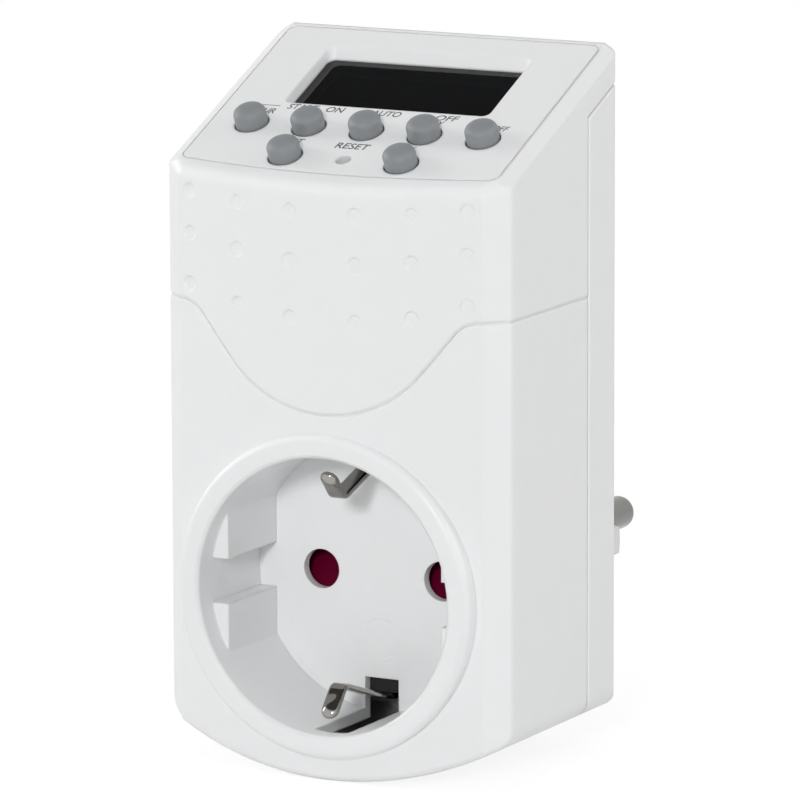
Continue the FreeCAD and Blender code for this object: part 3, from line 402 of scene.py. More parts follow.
class Effects:
    """The shared effects: moulded grain, handling marks, soft edges and painted shade in creases."""

    # Shares of a group's own scale, and the ranges of noise that become a mask's 0 to 1
    WAVE_SHARE = 0.015
    MEDIUM_SHARE = 0.06
    WAVE_HEIGHT = 3.0
    GRAIN_RANGE = (0.3, 0.7)
    PATCH_RANGE = (0.5, 0.7)
    STREAK_SHARE = 22.0
    STREAK_RANGE = (0.45, 0.62)
    STRETCH = (1.0, 0.35, 2.2)
    CREASE_RANGE = (0.35, 1.0)
    SAMPLES = 8

    def __init__(self) -> None:
        """Build every shared effect once."""
        self.grain = self.build_grain()
        self.marks = self.build_marks()
        self.edges = self.build_edges()
        self.creases = self.build_creases()

    def build_grain(self) -> bpy.types.NodeTree:
        """Fine relief of a moulded or stamped face, and a slow change of its gloss.

        Returns:
            A group with Height from fine noise plus a share of slow waves, and Mask from medium noise.
        """
        tree, given, result = new_effect("Moulded grain", {"Scale": 5000.0},
                                         {"Height": "NodeSocketFloat", "Mask": "NodeSocketFloat"})
        place = tree.place()
        scale = given.outputs["Scale"]
        fine = tree.noise(place, scale, detail=2.0)
        slow = tree.noise(place, tree.math("MULTIPLY", scale, self.WAVE_SHARE), detail=1.0)
        medium = tree.noise(place, tree.math("MULTIPLY", scale, self.MEDIUM_SHARE), detail=3.0)
        waves = tree.math("MULTIPLY", slow, self.WAVE_HEIGHT)
        tree.feed(result.inputs["Height"], tree.math("ADD", fine, waves))
        tree.feed(result.inputs["Mask"], tree.ranged(medium, *self.GRAIN_RANGE))
        return tree.tree

    def build_marks(self) -> bpy.types.NodeTree:
        """Faint rubbed patches with fine streaks in them, as handling leaves.

        Returns:
            A group with Mask, the product of broad patches and stretched streaks.
        """
        tree, given, result = new_effect("Handling marks", {"Scale": 60.0, "Amount": 0.5},
                                         {"Mask": "NodeSocketFloat"})
        place = tree.place()
        broad = tree.noise(place, given.outputs["Scale"], detail=4.0, roughness=0.6)
        patches = tree.ranged(broad, *self.PATCH_RANGE)
        stretch = tree.add("ShaderNodeMapping")
        stretch.inputs["Scale"].default_value = self.STRETCH
        tree.feed(stretch.inputs["Vector"], place)
        fine_scale = tree.math("MULTIPLY", given.outputs["Scale"], self.STREAK_SHARE)
        narrow = tree.noise(stretch.outputs[0], fine_scale, detail=3.0, roughness=0.7)
        streaks = tree.ranged(narrow, *self.STREAK_RANGE)
        both = tree.math("MULTIPLY", patches, streaks)
        tree.feed(result.inputs["Mask"], tree.math("MULTIPLY", both, given.outputs["Amount"]))
        return tree.tree

    def build_edges(self) -> bpy.types.NodeTree:
        """Normals that round every sharp edge by a small radius.

        Returns:
            A group with Normal.
        """
        tree, given, result = new_effect("Soft edges", {"Radius": 0.0002}, {"Normal": "NodeSocketVector"})
        bevel = tree.add("ShaderNodeBevel", samples=self.SAMPLES)
        tree.feed(bevel.inputs["Radius"], given.outputs["Radius"])
        tree.feed(result.inputs["Normal"], bevel.outputs["Normal"])
        return tree.tree

    def build_creases(self) -> bpy.types.NodeTree:
        """Mask of painted shade: what lies deep in a seam or a corner, found by ambient occlusion.

        Returns:
            A group with Mask, 0 in the open and up to Amount in a crease.
        """
        tree, given, result = new_effect("Crease shade", {"Distance": 0.0006, "Amount": 0.5},
                                         {"Mask": "NodeSocketFloat"})
        hidden = tree.add("ShaderNodeAmbientOcclusion", samples=self.SAMPLES, only_local=False)
        tree.feed(hidden.inputs["Distance"], given.outputs["Distance"])
        closed = tree.math("SUBTRACT", 1.0, hidden.outputs["AO"])
        strong = tree.ranged(closed, *self.CREASE_RANGE)
        tree.feed(result.inputs["Mask"], tree.math("MULTIPLY", strong, given.outputs["Amount"]))
        return tree.tree


# Finishes

@dataclass(frozen=True)
class Finish:
    """A surface with grain, gloss that varies a little, soft edges and, where given, painted shade in its
    creases.
    """

    name: str
    colour: Colour
    roughness: float
    grain: Grain = Grain.FINE
    roughness_spread: float = 0.06
    tint: Colour | None = None
    tint_share: float = 0.35
    metallic: float = 0.0
    coat: float = 0.0
    coat_roughness: float = 0.1
    specular: float = 0.5
    edge_radius: float = 0.15 * MM
    marks: float = 0.25
    rubbed_spread: float = 3.0
    # Painted shade in creases: the colour that occluded places darken to, and how far the occlusion looks
    painted_crease_shade: Colour | None = None
    crease_shade_distance: float = 0.6 * MM

    def colour_socket(self, tree: Tree, grain: bpy.types.Node) -> object:
        """Base colour: the plain colour, drifting to the tint where the grain's slow mask is high.

        Args:
            tree: the material's tree.
            grain: the grain effect's node.

        Returns:
            The colour, as a socket or a plain value.
        """
        plain = (*self.colour, 1.0)
        if self.tint is None:
            return plain
        share = tree.math("MULTIPLY", grain.outputs["Mask"], self.tint_share)
        return tree.mix(share, plain, (*self.tint, 1.0))

    def finish_shader(self, tree: Tree, shader: bpy.types.Node) -> None:
        """Set what only some finishes have; a plain finish has nothing more."""

    def build(self, effects: Effects) -> bpy.types.Material:
        """Make the material.

        Args:
            effects: the shared effects.

        Returns:
            The material, under the finish's name.
        """
        material = bpy.data.materials.new(self.name)
        material.use_nodes = True
        material.diffuse_color = (*self.colour, 1.0)
        tree = Tree(material.node_tree)
        shader = material.node_tree.nodes["Principled BSDF"]
        grain = tree.group(effects.grain, Scale=self.grain.scale)
        marks = tree.group(effects.marks, Amount=self.marks)
        colour = self.colour_socket(tree, grain)
        # Painted shade: the colour darkens towards the crease colour where ambient occlusion finds a seam, a
        # corner or a recess
        if self.painted_crease_shade is not None:
            creases = tree.group(effects.creases, Distance=self.crease_shade_distance)
            colour = tree.mix(creases.outputs["Mask"], colour, (*self.painted_crease_shade, 1.0))
        tree.feed(shader.inputs["Base Color"], colour)
        spread = self.roughness_spread
        gloss = tree.math("MULTIPLY_ADD", grain.outputs["Mask"], spread, self.roughness)
        rubbed = tree.math("MULTIPLY_ADD", marks.outputs["Mask"], spread * self.rubbed_spread, gloss)
        tree.feed(shader.inputs["Roughness"], rubbed)
        edges = tree.group(effects.edges, Radius=self.edge_radius)
        bump = tree.add("ShaderNodeBump")
        bump.inputs["Distance"].default_value = self.grain.depth
        tree.feed(bump.inputs["Height"], grain.outputs["Height"])
        tree.feed(bump.inputs["Normal"], edges.outputs["Normal"])
        tree.feed(shader.inputs["Normal"], bump.outputs["Normal"])
        shader.inputs["Metallic"].default_value = self.metallic
        shader.inputs["Coat Weight"].default_value = self.coat
        shader.inputs["Coat Roughness"].default_value = self.coat_roughness
        shader.inputs["Specular IOR Level"].default_value = self.specular
        self.finish_shader(tree, shader)
        return material


@dataclass(frozen=True)
class Glass(Finish):
    """A clear or tinted pane."""

    transmission: float = 1.0

    def finish_shader(self, tree: Tree, shader: bpy.types.Node) -> None:
        """Let light through the pane."""
        shader.inputs["Transmission Weight"].default_value = self.transmission


@dataclass(frozen=True)
class SolderResist(Finish):
    """Circuit board lacquer with the copper tracks showing through as lighter bands."""

    track_scale: float = 320.0
    track_bend: float = 0.55
    track_edge: tuple[float, float] = (0.10, 0.13)
    track_colour: Colour = (0.05, 0.33, 0.14)

    def colour_socket(self, tree: Tree, grain: bpy.types.Node) -> object:
        """Board colour with lighter tracks along the edges between the cells of a loose grid.

        Args:
            tree: the material's tree.
            grain: the grain effect's node.

        Returns:
            The colour.
        """
        cells = tree.add("ShaderNodeTexVoronoi", feature="DISTANCE_TO_EDGE")
        tree.feed(cells.inputs["Vector"], tree.place())
        cells.inputs["Scale"].default_value = self.track_scale
        cells.inputs["Randomness"].default_value = self.track_bend
        track = tree.ranged(cells.outputs["Distance"], *self.track_edge)
        return tree.mix(track, (*self.track_colour, 1.0), (*self.colour, 1.0))


@dataclass(frozen=True)
class PlatedStrip(Finish):
    """Plating with painted shade: bright in the socket, and near black behind the socket floor, where the
    strip lies in shade.
    """

    painted_shade_from: float = -36.4 * MM
    painted_shade_to: float = -35.2 * MM
    painted_shade_colour: Colour = (0.03, 0.028, 0.026)

    def colour_socket(self, tree: Tree, grain: bpy.types.Node) -> object:
        """Bright plating that turns to the painted shade colour along Y, from the floor's front to its back.

        Args:
            tree: the material's tree.
            grain: the grain effect's node.

        Returns:
            The colour.
        """
        bright = super().colour_socket(tree, grain)
        parts = tree.add("ShaderNodeSeparateXYZ")
        tree.feed(parts.inputs[0], tree.place())
        # Painted shade: the strip darkens to near black behind the floor
        hidden = tree.ranged(parts.outputs["Y"], self.painted_shade_from, self.painted_shade_to)
        return tree.mix(hidden, bright, (*self.painted_shade_colour, 1.0))


def finishes() -> list[Finish]:
    """Every finish of the timer, under the record's material slots where one finish fills a slot.

    Returns:
        The finishes.
    """
    # Painted shade: the housing's white darkens to light grey in its seams, gaps and pit corners
    white = Finish("housing_white", (0.848, 0.853, 0.86), 0.33, Grain.FINE, tint=(0.833, 0.838, 0.838),
                   edge_radius=0.45 * MM, painted_crease_shade=(0.7, 0.7, 0.71), specular=0.38)
    return [
        white,
        replace(white, name="fine_white", edge_radius=0.0, painted_crease_shade=None),
        # Painted shade: the bowls darken to mid grey on their deep side
        replace(white, name="dimple_white", edge_radius=0.0, painted_crease_shade=(0.5, 0.5, 0.51),
                crease_shade_distance=0.9 * MM),
        # Painted light: the socket floor's white is a touch lighter than the housing's, to lift the deep cup
        Finish("socket_white", (0.86, 0.865, 0.872), 0.2, Grain.FINE, tint=(0.845, 0.85, 0.85),
               edge_radius=0.3 * MM, specular=0.5),
        Finish("key_grey", (0.245, 0.262, 0.27), 0.42, Grain.SATIN, tint=(0.225, 0.24, 0.25),
               edge_radius=0.2 * MM, marks=0.5, specular=0.35),
        Finish("print_ink", (0.12, 0.125, 0.13), 0.5, Grain.FINE, edge_radius=0.0, specular=0.3),
        Finish("lcd_dark", (0.009, 0.012, 0.017), 0.2, Grain.POLISHED, specular=0.06),
        Glass("window_clear", (0.10, 0.115, 0.14), 0.03, Grain.POLISHED, roughness_spread=0.02,
              edge_radius=0.1 * MM, marks=0.1, specular=0.06),
        # Painted shadow: the shutter turns near black where the floor's hole edge overhangs it
        Finish("shutter_crimson", (0.125, 0.0003, 0.021), 0.45, Grain.FINE, tint=(0.11, 0.0003, 0.018),
               edge_radius=0.2 * MM, specular=0.05, painted_crease_shade=(0.012, 0.0, 0.002),
               crease_shade_distance=1.6 * MM),
        Finish("nickel", (0.62, 0.6, 0.57), 0.2, Grain.POLISHED, metallic=1.0, tint=(0.55, 0.53, 0.5),
               roughness_spread=0.1, marks=0.8),
        # Painted reflection: the clips' and pins' plating is darker than bare nickel, to stand in for the
        # dim surroundings that they mirror
        PlatedStrip("plated_clips", (0.36, 0.348, 0.325), 0.09, Grain.POLISHED, metallic=1.0,
                    tint=(0.31, 0.297, 0.275), roughness_spread=0.05, marks=0.5),
        Finish("plated_pins", (0.22, 0.215, 0.205), 0.14, Grain.POLISHED, metallic=1.0,
               tint=(0.195, 0.19, 0.18), roughness_spread=0.06, marks=0.6),
        Finish("brass_contact", (0.72, 0.5, 0.2), 0.26, Grain.POLISHED, metallic=1.0, tint=(0.6, 0.4, 0.16),
               roughness_spread=0.1, marks=0.8),
        Finish("spring_steel", (0.5, 0.5, 0.51), 0.24, Grain.POLISHED, metallic=1.0, edge_radius=0.03 * MM),
        Finish("screw_steel", (0.55, 0.56, 0.57), 0.3, Grain.POLISHED, metallic=1.0, tint=(0.5, 0.5, 0.46),
               edge_radius=0.06 * MM, marks=0.6),
        Finish("inner_plastic", (0.68, 0.68, 0.65), 0.42, Grain.FINE, tint=(0.64, 0.64, 0.6)),
        # Painted shade: the shutter carrier is near black so that the socket's notch in front of it reads
        # dark
        Finish("carrier_painted_shade", (0.022, 0.022, 0.023), 0.55, Grain.SATIN, specular=0.2),
        Finish("mat_rubber", (0.07, 0.073, 0.078), 0.6, Grain.SATIN, specular=0.35),
        SolderResist("board_green", (0.015, 0.16, 0.06), 0.3, Grain.COARSE, coat=0.3),
        Finish("black_plastic", (0.03, 0.03, 0.031), 0.45, Grain.SATIN, tint=(0.045, 0.045, 0.045)),
        Finish("film_capacitor", (0.5, 0.36, 0.04), 0.38, Grain.FINE, tint=(0.44, 0.3, 0.03)),
        Finish("component_can", (0.7, 0.7, 0.71), 0.3, Grain.POLISHED, metallic=1.0, roughness_spread=0.12),
        Finish("component_coat", (0.05, 0.14, 0.33), 0.35, Grain.COARSE, tint=(0.04, 0.1, 0.26), coat=0.4),
        Finish("ribbon_grey", (0.32, 0.32, 0.34), 0.5, Grain.SATIN),
    ]


class Wardrobe:
    """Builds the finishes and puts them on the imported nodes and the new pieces."""

    def __init__(self, frame: dict, effects: Effects) -> None:
        """Build every finish and note which slot each node has.

        Args:
            effects: the shared effects.
        """
        self.nodes = frame["nodes"]
        self.materials = {finish.name: finish.build(effects) for finish in finishes()}
        self.slots = {part["node"]: part["material_slot"] for part in frame["record"]["subparts"]}

    def dress(self, *names: str) -> None:
        """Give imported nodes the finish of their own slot.

        Args:
            names: the nodes.
        """
        for name in names:
            self.dress_as(self.slots[name], name)

    def dress_as(self, finish: str, *names: str) -> None:
        """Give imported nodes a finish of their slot's kind that has its own name.

        Args:
            finish: name of the finish.
            names: the nodes.
        """
        for name in names:
            for holder in self.nodes[name].material_slots:
                holder.material = self.materials[finish]
            log.info("%s: %s", name, finish)


# Sub-assemblies

class Housing:
    """The three shells, the faceplate and the socket floor."""

    PIECES = ("lower_cover", "upper_cover", "rear_cover", "faceplate")

    def build(self, wardrobe: Wardrobe) -> None:
        """Finish the shells as semi-gloss moulded white and add their finest shapes.

        Args:
            wardrobe: the finishes.
        """
        wardrobe.dress(*self.PIECES)
        wardrobe.dress_as("socket_white", "socket_floor")
        JointLip().build(wardrobe)
        EjectorMark().build(wardrobe)
        DimpleBowls().build(wardrobe)


@dataclass(frozen=True)
class Front:
    """The body's front, which is crowned across between two creases, and where the joint meets its sides."""

    crease_x: float = 23.5 * MM
    crease_y: float = -51.9 * MM
    crown_y: float = -53.9 * MM
    joint_height: float = 39.6 * MM

    @property
    def crown(self) -> float:
        """How far the middle of the front stands out before the creases."""
        return self.crease_y - self.crown_y

    def skin(self, x: np.ndarray) -> np.ndarray:
        """Depth of the skin at a place across the front: an arc through both creases and the crown."""
        radius = (self.crease_x ** 2 + self.crown ** 2) / (2 * self.crown)
        return self.crown_y + radius - np.sqrt(radius ** 2 - x ** 2)


FRONT = Front()


@dataclass
class JointLip:
    """The lower cover's lip that closes the joint between the two front covers just under their skin."""

    half_width: float = 26.6 * MM
    shoulder_y: float = -49.1 * MM
    rear_y: float = -26.2 * MM
    front_steps: int = 200
    wave_bottom: float = 25.4 * MM
    wave_side_margin: float = 0.4 * MM
    wave_end_radius: float = 4.5 * MM
    wave_roundness: float = 0.583
    joint_gap: float = 0.15 * MM
    side_lap: float = 0.03 * MM
    depth: float = 0.3 * MM
    thickness: float = 0.6 * MM
    step: float = 0.25 * MM

    def plan_line(self) -> np.ndarray:
        """Points round the front of the body's plan, evenly spaced, from the left rear to the right rear.

        The front is an arc, and the corners and the sides are straight.

        Returns:
            The points as x and y.
        """
        x = np.linspace(-FRONT.crease_x, FRONT.crease_x, self.front_steps)
        front = np.stack([x, FRONT.skin(x)], axis=1)
        side = np.array([(self.half_width, self.shoulder_y), (self.half_width, self.rear_y)])
        line = np.concatenate([side[::-1] * (-1, 1), front, side])
        length = run_along(line)[-1]
        return points_at(line, np.linspace(0.0, length, int(length / self.step)))

    def height(self, x: np.ndarray) -> np.ndarray:
        """Height of the joint at a place across the front.

        It is the round trough, then the straight flank that touches it, then the round shoulder that
        ends level at the joint. The flank's slope follows from the wave's rise and reach.

        Args:
            x: places across the front.

        Returns:
            The heights.
        """
        rise = FRONT.joint_height - self.wave_bottom
        end = FRONT.crease_x - self.wave_side_margin
        turn = math.atan(rise / end) * (1 + self.wave_roundness)
        both = (end * math.sin(turn) - rise * math.cos(turn)) / (1 - math.cos(turn))
        trough = both - self.wave_end_radius
        flank_start = trough * math.sin(turn)
        shoulder_start = end - self.wave_end_radius * math.sin(turn)
        x = np.abs(x)
        bowl = self.wave_bottom + trough - np.sqrt(np.clip(trough ** 2 - x ** 2, 0.0, None))
        start_height = self.wave_bottom + trough * (1 - math.cos(turn))
        flank = start_height + (x - flank_start) * math.tan(turn)
        left = np.clip(end - x, 0.0, self.wave_end_radius)
        drop = self.wave_end_radius - np.sqrt(self.wave_end_radius ** 2 - left ** 2)
        shoulder = FRONT.joint_height - drop
        return np.where(x < flank_start, bowl, np.where(x < shoulder_start, flank, shoulder))

    def build(self, wardrobe: Wardrobe) -> None:
        """Carry a thin upright section along the joint, set in from the skin by the lip's depth.

        Args:
            wardrobe: the finishes.
        """
        plan = self.plan_line()
        along = unit_rows(np.gradient(plan, axis=0))
        inward = np.stack([-along[:, 1], along[:, 0]], axis=1)
        middle = self.height(plan[:, 0]) - self.joint_gap / 2
        half = self.joint_gap / 2 + self.side_lap
        corners = [(self.depth, -half), (self.depth, half), (self.depth + self.thickness, half),
                   (self.depth + self.thickness, -half), (self.depth, -half)]
        rows = [np.stack([*(plan + inward * depth).T, middle + lift], axis=-1) for depth, lift in corners]
        grid = np.stack(rows, axis=1)
        caps = [np.stack([grid[end][:2], grid[end][[3, 2]]]) for end in (0, -1)]
        mesh = surface_mesh("joint_lip", [grid, *caps])
        add_piece("joint_lip", mesh, wardrobe.materials["housing_white"])


@dataclass
class EjectorMark:
    """Faint raised ring that a mould's ejector leaves on the socket floor."""

    place: tuple[float, float] = (-0.1 * MM, -9.1 * MM)
    radius: float = 3.0 * MM
    half_width: float = 0.3 * MM
    height: float = 0.012 * MM
    sides: int = 96
    section: int = 12

    def build(self, wardrobe: Wardrobe) -> None:
        """Turn a flat ellipse, half sunk in the floor's face, round the mark's centre.

        Args:
            wardrobe: the finishes.
        """
        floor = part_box("socket_floor")[0].y
        phase = np.linspace(0.0, math.tau, self.section + 1)
        rim = self.radius + self.half_width * np.cos(phase)
        proud = self.height * np.sin(phase)
        turn = np.linspace(0.0, math.tau, self.sides + 1)[:, None]
        grid = np.stack([self.place[0] + rim * np.cos(turn), floor - proud + 0.0 * turn,
                         self.place[1] + rim * np.sin(turn)], axis=-1)
        mesh = surface_mesh("ejector_mark", [grid])
        add_piece("ejector_mark", mesh, wardrobe.materials["fine_white"])


@dataclass
class DimpleBowls:
    """Thumb-shaped bowls in the flat-bottomed pits of the upper cover's front, in three sagging rows."""

    bowl_radius: float = 1.13 * MM
    bowl_rim: float = 0.3 * MM
    middle_depth: float = 0.19 * MM
    tilt_depth: float = 0.13 * MM
    shallow_angle: float = -37.0
    flange_radius: float = 1.6 * MM
    flange_proud: float = 0.008 * MM
    flange_root: float = 0.03 * MM
    stem_radius: float = 1.145 * MM
    underside: float = 0.345 * MM
    column_insets: tuple[float, ...] = (18.45 * MM, 10.0 * MM, 2.0 * MM)
    row_heights: tuple[float, ...] = (13.6 * MM, 6.8 * MM, -1.1 * MM)
    row_rises: tuple[float, ...] = (1.45 * MM, 2.3 * MM, 3.2 * MM)
    row_curve: float = 1.6
    rings: int = 26
    sides: int = 48

    def places(self) -> list[tuple[float, float]]:
        """Middles of the bowls; a row rises from its middle to its ends by a power curve.

        Returns:
            Their x and z.
        """
        inner, outer = self.column_insets[0], self.column_insets[-1]
        middles: list[tuple[float, float]] = []
        for up, rise in zip(self.row_heights, self.row_rises):
            for inset, side in itertools.product(self.column_insets, (1, -1)):
                share = (inner - inset) / (inner - outer)
                height = FRONT.joint_height + up + rise * share ** self.row_curve
                middles.append((side * (FRONT.crease_x - inset), height))
        return middles

    def bowl_grid(self, x: float, z: float) -> np.ndarray:
        """Grid of one bowl, square to the crowned front.

        The bowl's floor is a tilted plane, deepest at the upper left and nearly level with the skin at
        the lower right, and a smooth cubic lifts it to the skin near the rim. A flange follows the
        front's arc a hair above the skin and turns down into it, and a stem fills the pit below.

        Args:
            x: the bowl's place across the front.
            z: its height.

        Returns:
            The points, in place.
        """
        turn = np.linspace(0.0, math.tau, self.sides + 1)[None, :]
        bowl = np.linspace(0.0, self.bowl_radius, self.rings)[:, None]
        shallow = bowl / self.bowl_radius * np.cos(turn - math.radians(self.shallow_angle))
        lift = 1.0 - smooth_step(self.bowl_radius - self.bowl_rim, self.bowl_radius, bowl)
        sink = (self.middle_depth - self.tilt_depth * shallow) * lift - self.flange_proud
        outer = np.array((self.flange_radius, self.flange_radius, self.stem_radius, self.stem_radius, 0.0))
        depths = np.array((-self.flange_proud, self.flange_root, self.flange_root, self.underside,
                           self.underside))
        reach = np.concatenate([bowl, outer[:, None]])
        inward = np.concatenate([sink, depths[:, None] + 0.0 * turn])
        lean = math.atan(2 * FRONT.crown * x / FRONT.crease_x ** 2)
        across = x + reach * np.cos(turn) * math.cos(lean)
        return np.stack([across - inward * math.sin(lean), FRONT.skin(across) + inward * math.cos(lean),
                         z + reach * np.sin(turn)], axis=-1)

    def build(self, wardrobe: Wardrobe) -> None:
        """Fill every pit with its bowl."""
        mesh = surface_mesh("dimple_bowls", [self.bowl_grid(x, z) for x, z in self.places()])
        add_piece("dimple_bowls", mesh, wardrobe.materials["dimple_white"])


@dataclass(frozen=True)
class PanelPlane:
    """The sloped panel's face, with places across it, down from the faceplate's upper edge and out of it."""

    outward: np.ndarray
    downward: np.ndarray
    level: float
    edge: float
    foot: float
    half_width: float

    ACROSS = np.array((1.0, 0.0, 0.0))

    @classmethod
    def from_frame(cls, frame: dict) -> PanelPlane:
        """Work out the plane from the way the keys move and from the faceplate's corners.


        Returns:
            The plane.
        """
        press = next(joint for joint in frame["joints"] if joint["name"] == "key_1_press")
        outward = -np.array(press["axis"], float)
        downward = np.cross(cls.ACROSS, outward)
        corners = mesh_points(frame["nodes"]["faceplate"].data)
        edge = (corners @ downward).min()
        return cls(outward, downward, level=(corners @ outward).max(), edge=edge,
                   foot=(corners @ downward).max() - edge, half_width=corners[:, 0].max())

    def point(self, x: np.ndarray, down: np.ndarray, height: np.ndarray) -> np.ndarray:
        """World points of places across the panel, down from its upper edge and out of it."""
        return (x[..., None] * self.ACROSS + (down[..., None] + self.edge) * self.downward
                + (height[..., None] + self.level) * self.outward)


@dataclass(frozen=True)
class Label:
    """A printed word: its middle across the panel and its place down from the plate's upper edge."""

    words: str
    x: float
    down: float
    width: float
    height: float


@dataclass
class Panel:
    """The sloped panel with its keys, display and printed words."""

    key_count: int = 7
    letter_slant: float = 0.16
    ink_lift: float = 0.004 * MM
    ink_thickness: float = 0.012 * MM
    letter_boldness: float = 0.012
    line_width: float = 0.12 * MM
    labels: tuple[Label, ...] = (
        Label("ON", -7.2 * MM, 20.6 * MM, 2.7 * MM, 1.3 * MM),
        Label("AUTO", 0.85 * MM, 20.65 * MM, 4.5 * MM, 1.3 * MM),
        Label("OFF", 10.3 * MM, 20.7 * MM, 3.4 * MM, 1.3 * MM),
        Label("RESET", -0.2 * MM, 29.2 * MM, 5.0 * MM, 1.4 * MM),
        Label("HOUR", -18.0 * MM, 21.95 * MM, 4.2 * MM, 1.3 * MM),
        Label("START", -12.25 * MM, 20.5 * MM, 4.6 * MM, 1.3 * MM),
        Label("DAY", 9.0 * MM, 22.1 * MM, 2.7 * MM, 1.1 * MM),
        Label("ON/OFF", 17.9 * MM, 22.25 * MM, 5.0 * MM, 1.2 * MM),
        Label("SET", -9.3 * MM, 28.9 * MM, 2.5 * MM, 1.2 * MM),
        Label("OK", 8.4 * MM, 28.8 * MM, 1.8 * MM, 1.2 * MM),
    )
    bracket: tuple[float, ...] = (-18.6 * MM, -15.9 * MM, 20.5 * MM, 21.1 * MM)

    def word_points(self, plane: PanelPlane, label: Label) -> tuple[np.ndarray, list[list[int]]]:
        """Shape a label's letters and lay them on the panel.

        The letters are scaled to the label's width and height and lean to the right by the slant.

        Args:
            plane: the panel's plane.
            label: the printed word.

        Returns:
            The points in place and the faces of the letters.
        """
        curve = bpy.data.curves.new(label.words, "FONT")
        curve.body = label.words
        curve.extrude = 1.0
        curve.offset = self.letter_boldness
        writing = bpy.data.objects.new(label.words, curve)
        bpy.context.scene.collection.objects.link(writing)
        bpy.context.view_layer.update()
        mesh = bpy.data.meshes.new_from_object(writing.evaluated_get(bpy.context.evaluated_depsgraph_get()))
        flat = mesh_points(mesh)
        faces = [list(polygon.vertices) for polygon in mesh.polygons]
        bpy.data.objects.remove(writing)
        bpy.data.curves.remove(curve)
        bpy.data.meshes.remove(mesh)
        low, high = flat.min(axis=0), flat.max(axis=0)
        share = (flat - low) / (high - low)
        slant = (share[:, 1] - 0.5) * self.letter_slant * label.height
        x = label.x + (share[:, 0] - 0.5) * label.width + slant
        down = label.down + (0.5 - share[:, 1]) * label.height
        height = self.ink_lift + (share[:, 2] - 0.5) * self.ink_thickness
        return plane.point(x, down, height), faces

    def line_points(self, plane: PanelPlane, x0: float, x1: float, down0: float, down1: float
                    ) -> tuple[np.ndarray, list[list[int]]]:
        """A printed line: a thin raised strip between two places on the panel.

        Args:
            plane: the panel's plane.
            x0: its left side.
            x1: its right side.
            down0: its upper side.
            down1: its lower side.

        Returns:
            The eight corners in place and the six faces.
        """
        low = self.ink_lift - self.ink_thickness / 2
        high = self.ink_lift + self.ink_thickness / 2
        x, down, height = np.array(list(itertools.product((x0, x1), (down0, down1), (low, high)))).T
        return plane.point(x, down, height), BOX_FACES

    def print_labels(self, plane: PanelPlane, wardrobe: Wardrobe) -> None:
        """Print the words as one thin piece of ink on the faceplate.

        Args:
            plane: the panel's plane.
            wardrobe: the finishes.
        """
        left, right, top, foot = self.bracket
        shapes = [self.word_points(plane, label) for label in self.labels]
        shapes += [self.line_points(plane, left, right, top, top + self.line_width),
                   self.line_points(plane, left, left + self.line_width, top, foot)]
        points: list[list[float]] = []
        faces: list[list[int]] = []
        for placed, polygons in shapes:
            faces += [[index + len(points) for index in polygon] for polygon in polygons]
            points += placed.tolist()
        mesh = bpy.data.meshes.new("panel_lettering")
        mesh.from_pydata(points, [], faces)
        add_piece("panel_lettering", mesh, wardrobe.materials["print_ink"])

    def build(self, frame: dict, wardrobe: Wardrobe) -> None:
        """Finish the keys and the display, print the words and lay the faceplate's seat.

        Args:
            wardrobe: the finishes.
        """
        keys = [f"key_{number + 1}" for number in range(self.key_count)]
        wardrobe.dress(*keys, "keypad_mat", "reset_plunger", "reset_switch", "lcd_window", "lcd_glass",
                       "lcd_frame", "contact_strip")
        plane = PanelPlane.from_frame(frame)
        self.print_labels(plane, wardrobe)
        PlateSeat().build(plane, wardrobe)


@dataclass
class PlateSeat:
    """The upper cover's seat that shows at the foot of the gap round the faceplate."""

    gap: float = 0.12 * MM
    corner_radius: float = 1.5 * MM
    front_crown: float = 1.6 * MM
    half_width: float = 0.35 * MM
    depth: float = 0.2 * MM
    thickness: float = 0.3 * MM
    corner_steps: int = 12
    front_steps: int = 60

    def middle_line(self, half: float, foot: float) -> np.ndarray:
        """Middle line of the gap: straight sides and back, a front bowed as a parabola, round corners.

        Args:
            half: half the width of the line.
            foot: how far down its front reaches from the plate's upper edge.

        Returns:
            Places across and down the panel, once round.
        """
        top = -self.gap / 2
        inner = half - self.corner_radius
        low = foot - self.front_crown - self.corner_radius
        high = top + self.corner_radius
        turn = np.linspace(0.0, math.pi / 2, self.corner_steps)
        sine, cosine = self.corner_radius * np.sin(turn), self.corner_radius * np.cos(turn)
        x = np.linspace(inner, -inner, self.front_steps)[1:-1]
        rounds = [(inner + sine, high - cosine), (inner + cosine, low + sine),
                  (x, foot - self.front_crown * (x / inner) ** 2),
                  (-inner - sine, low + cosine), (-inner - cosine, high - sine)]
        return np.concatenate([np.stack(pair, axis=1) for pair in rounds])

    def build(self, plane: PanelPlane, wardrobe: Wardrobe) -> None:
        """Carry a flat section round the gap's middle line, under the panel's face.

        Args:
            plane: the panel's plane.
            wardrobe: the finishes.
        """
        line = self.middle_line(plane.half_width + self.gap / 2, plane.foot + self.gap / 2)
        along = unit_rows(np.roll(line, -1, axis=0) - np.roll(line, 1, axis=0))
        outward = np.stack([along[:, 1], -along[:, 0]], axis=1)
        deep = self.depth + self.thickness
        section = [(-1, -self.depth), (1, -self.depth), (1, -deep), (-1, -deep), (-1, -self.depth)]
        rows: list[np.ndarray] = []
        for side, height in section:
            place = line + outward * side * self.half_width
            rows.append(plane.point(place[:, 0], place[:, 1], np.full(len(place), height)))
        grid = np.stack(rows, axis=1)
        mesh = surface_mesh("plate_seat", [np.concatenate([grid, grid[:1]])])
        add_piece("plate_seat", mesh, wardrobe.materials["fine_white"])


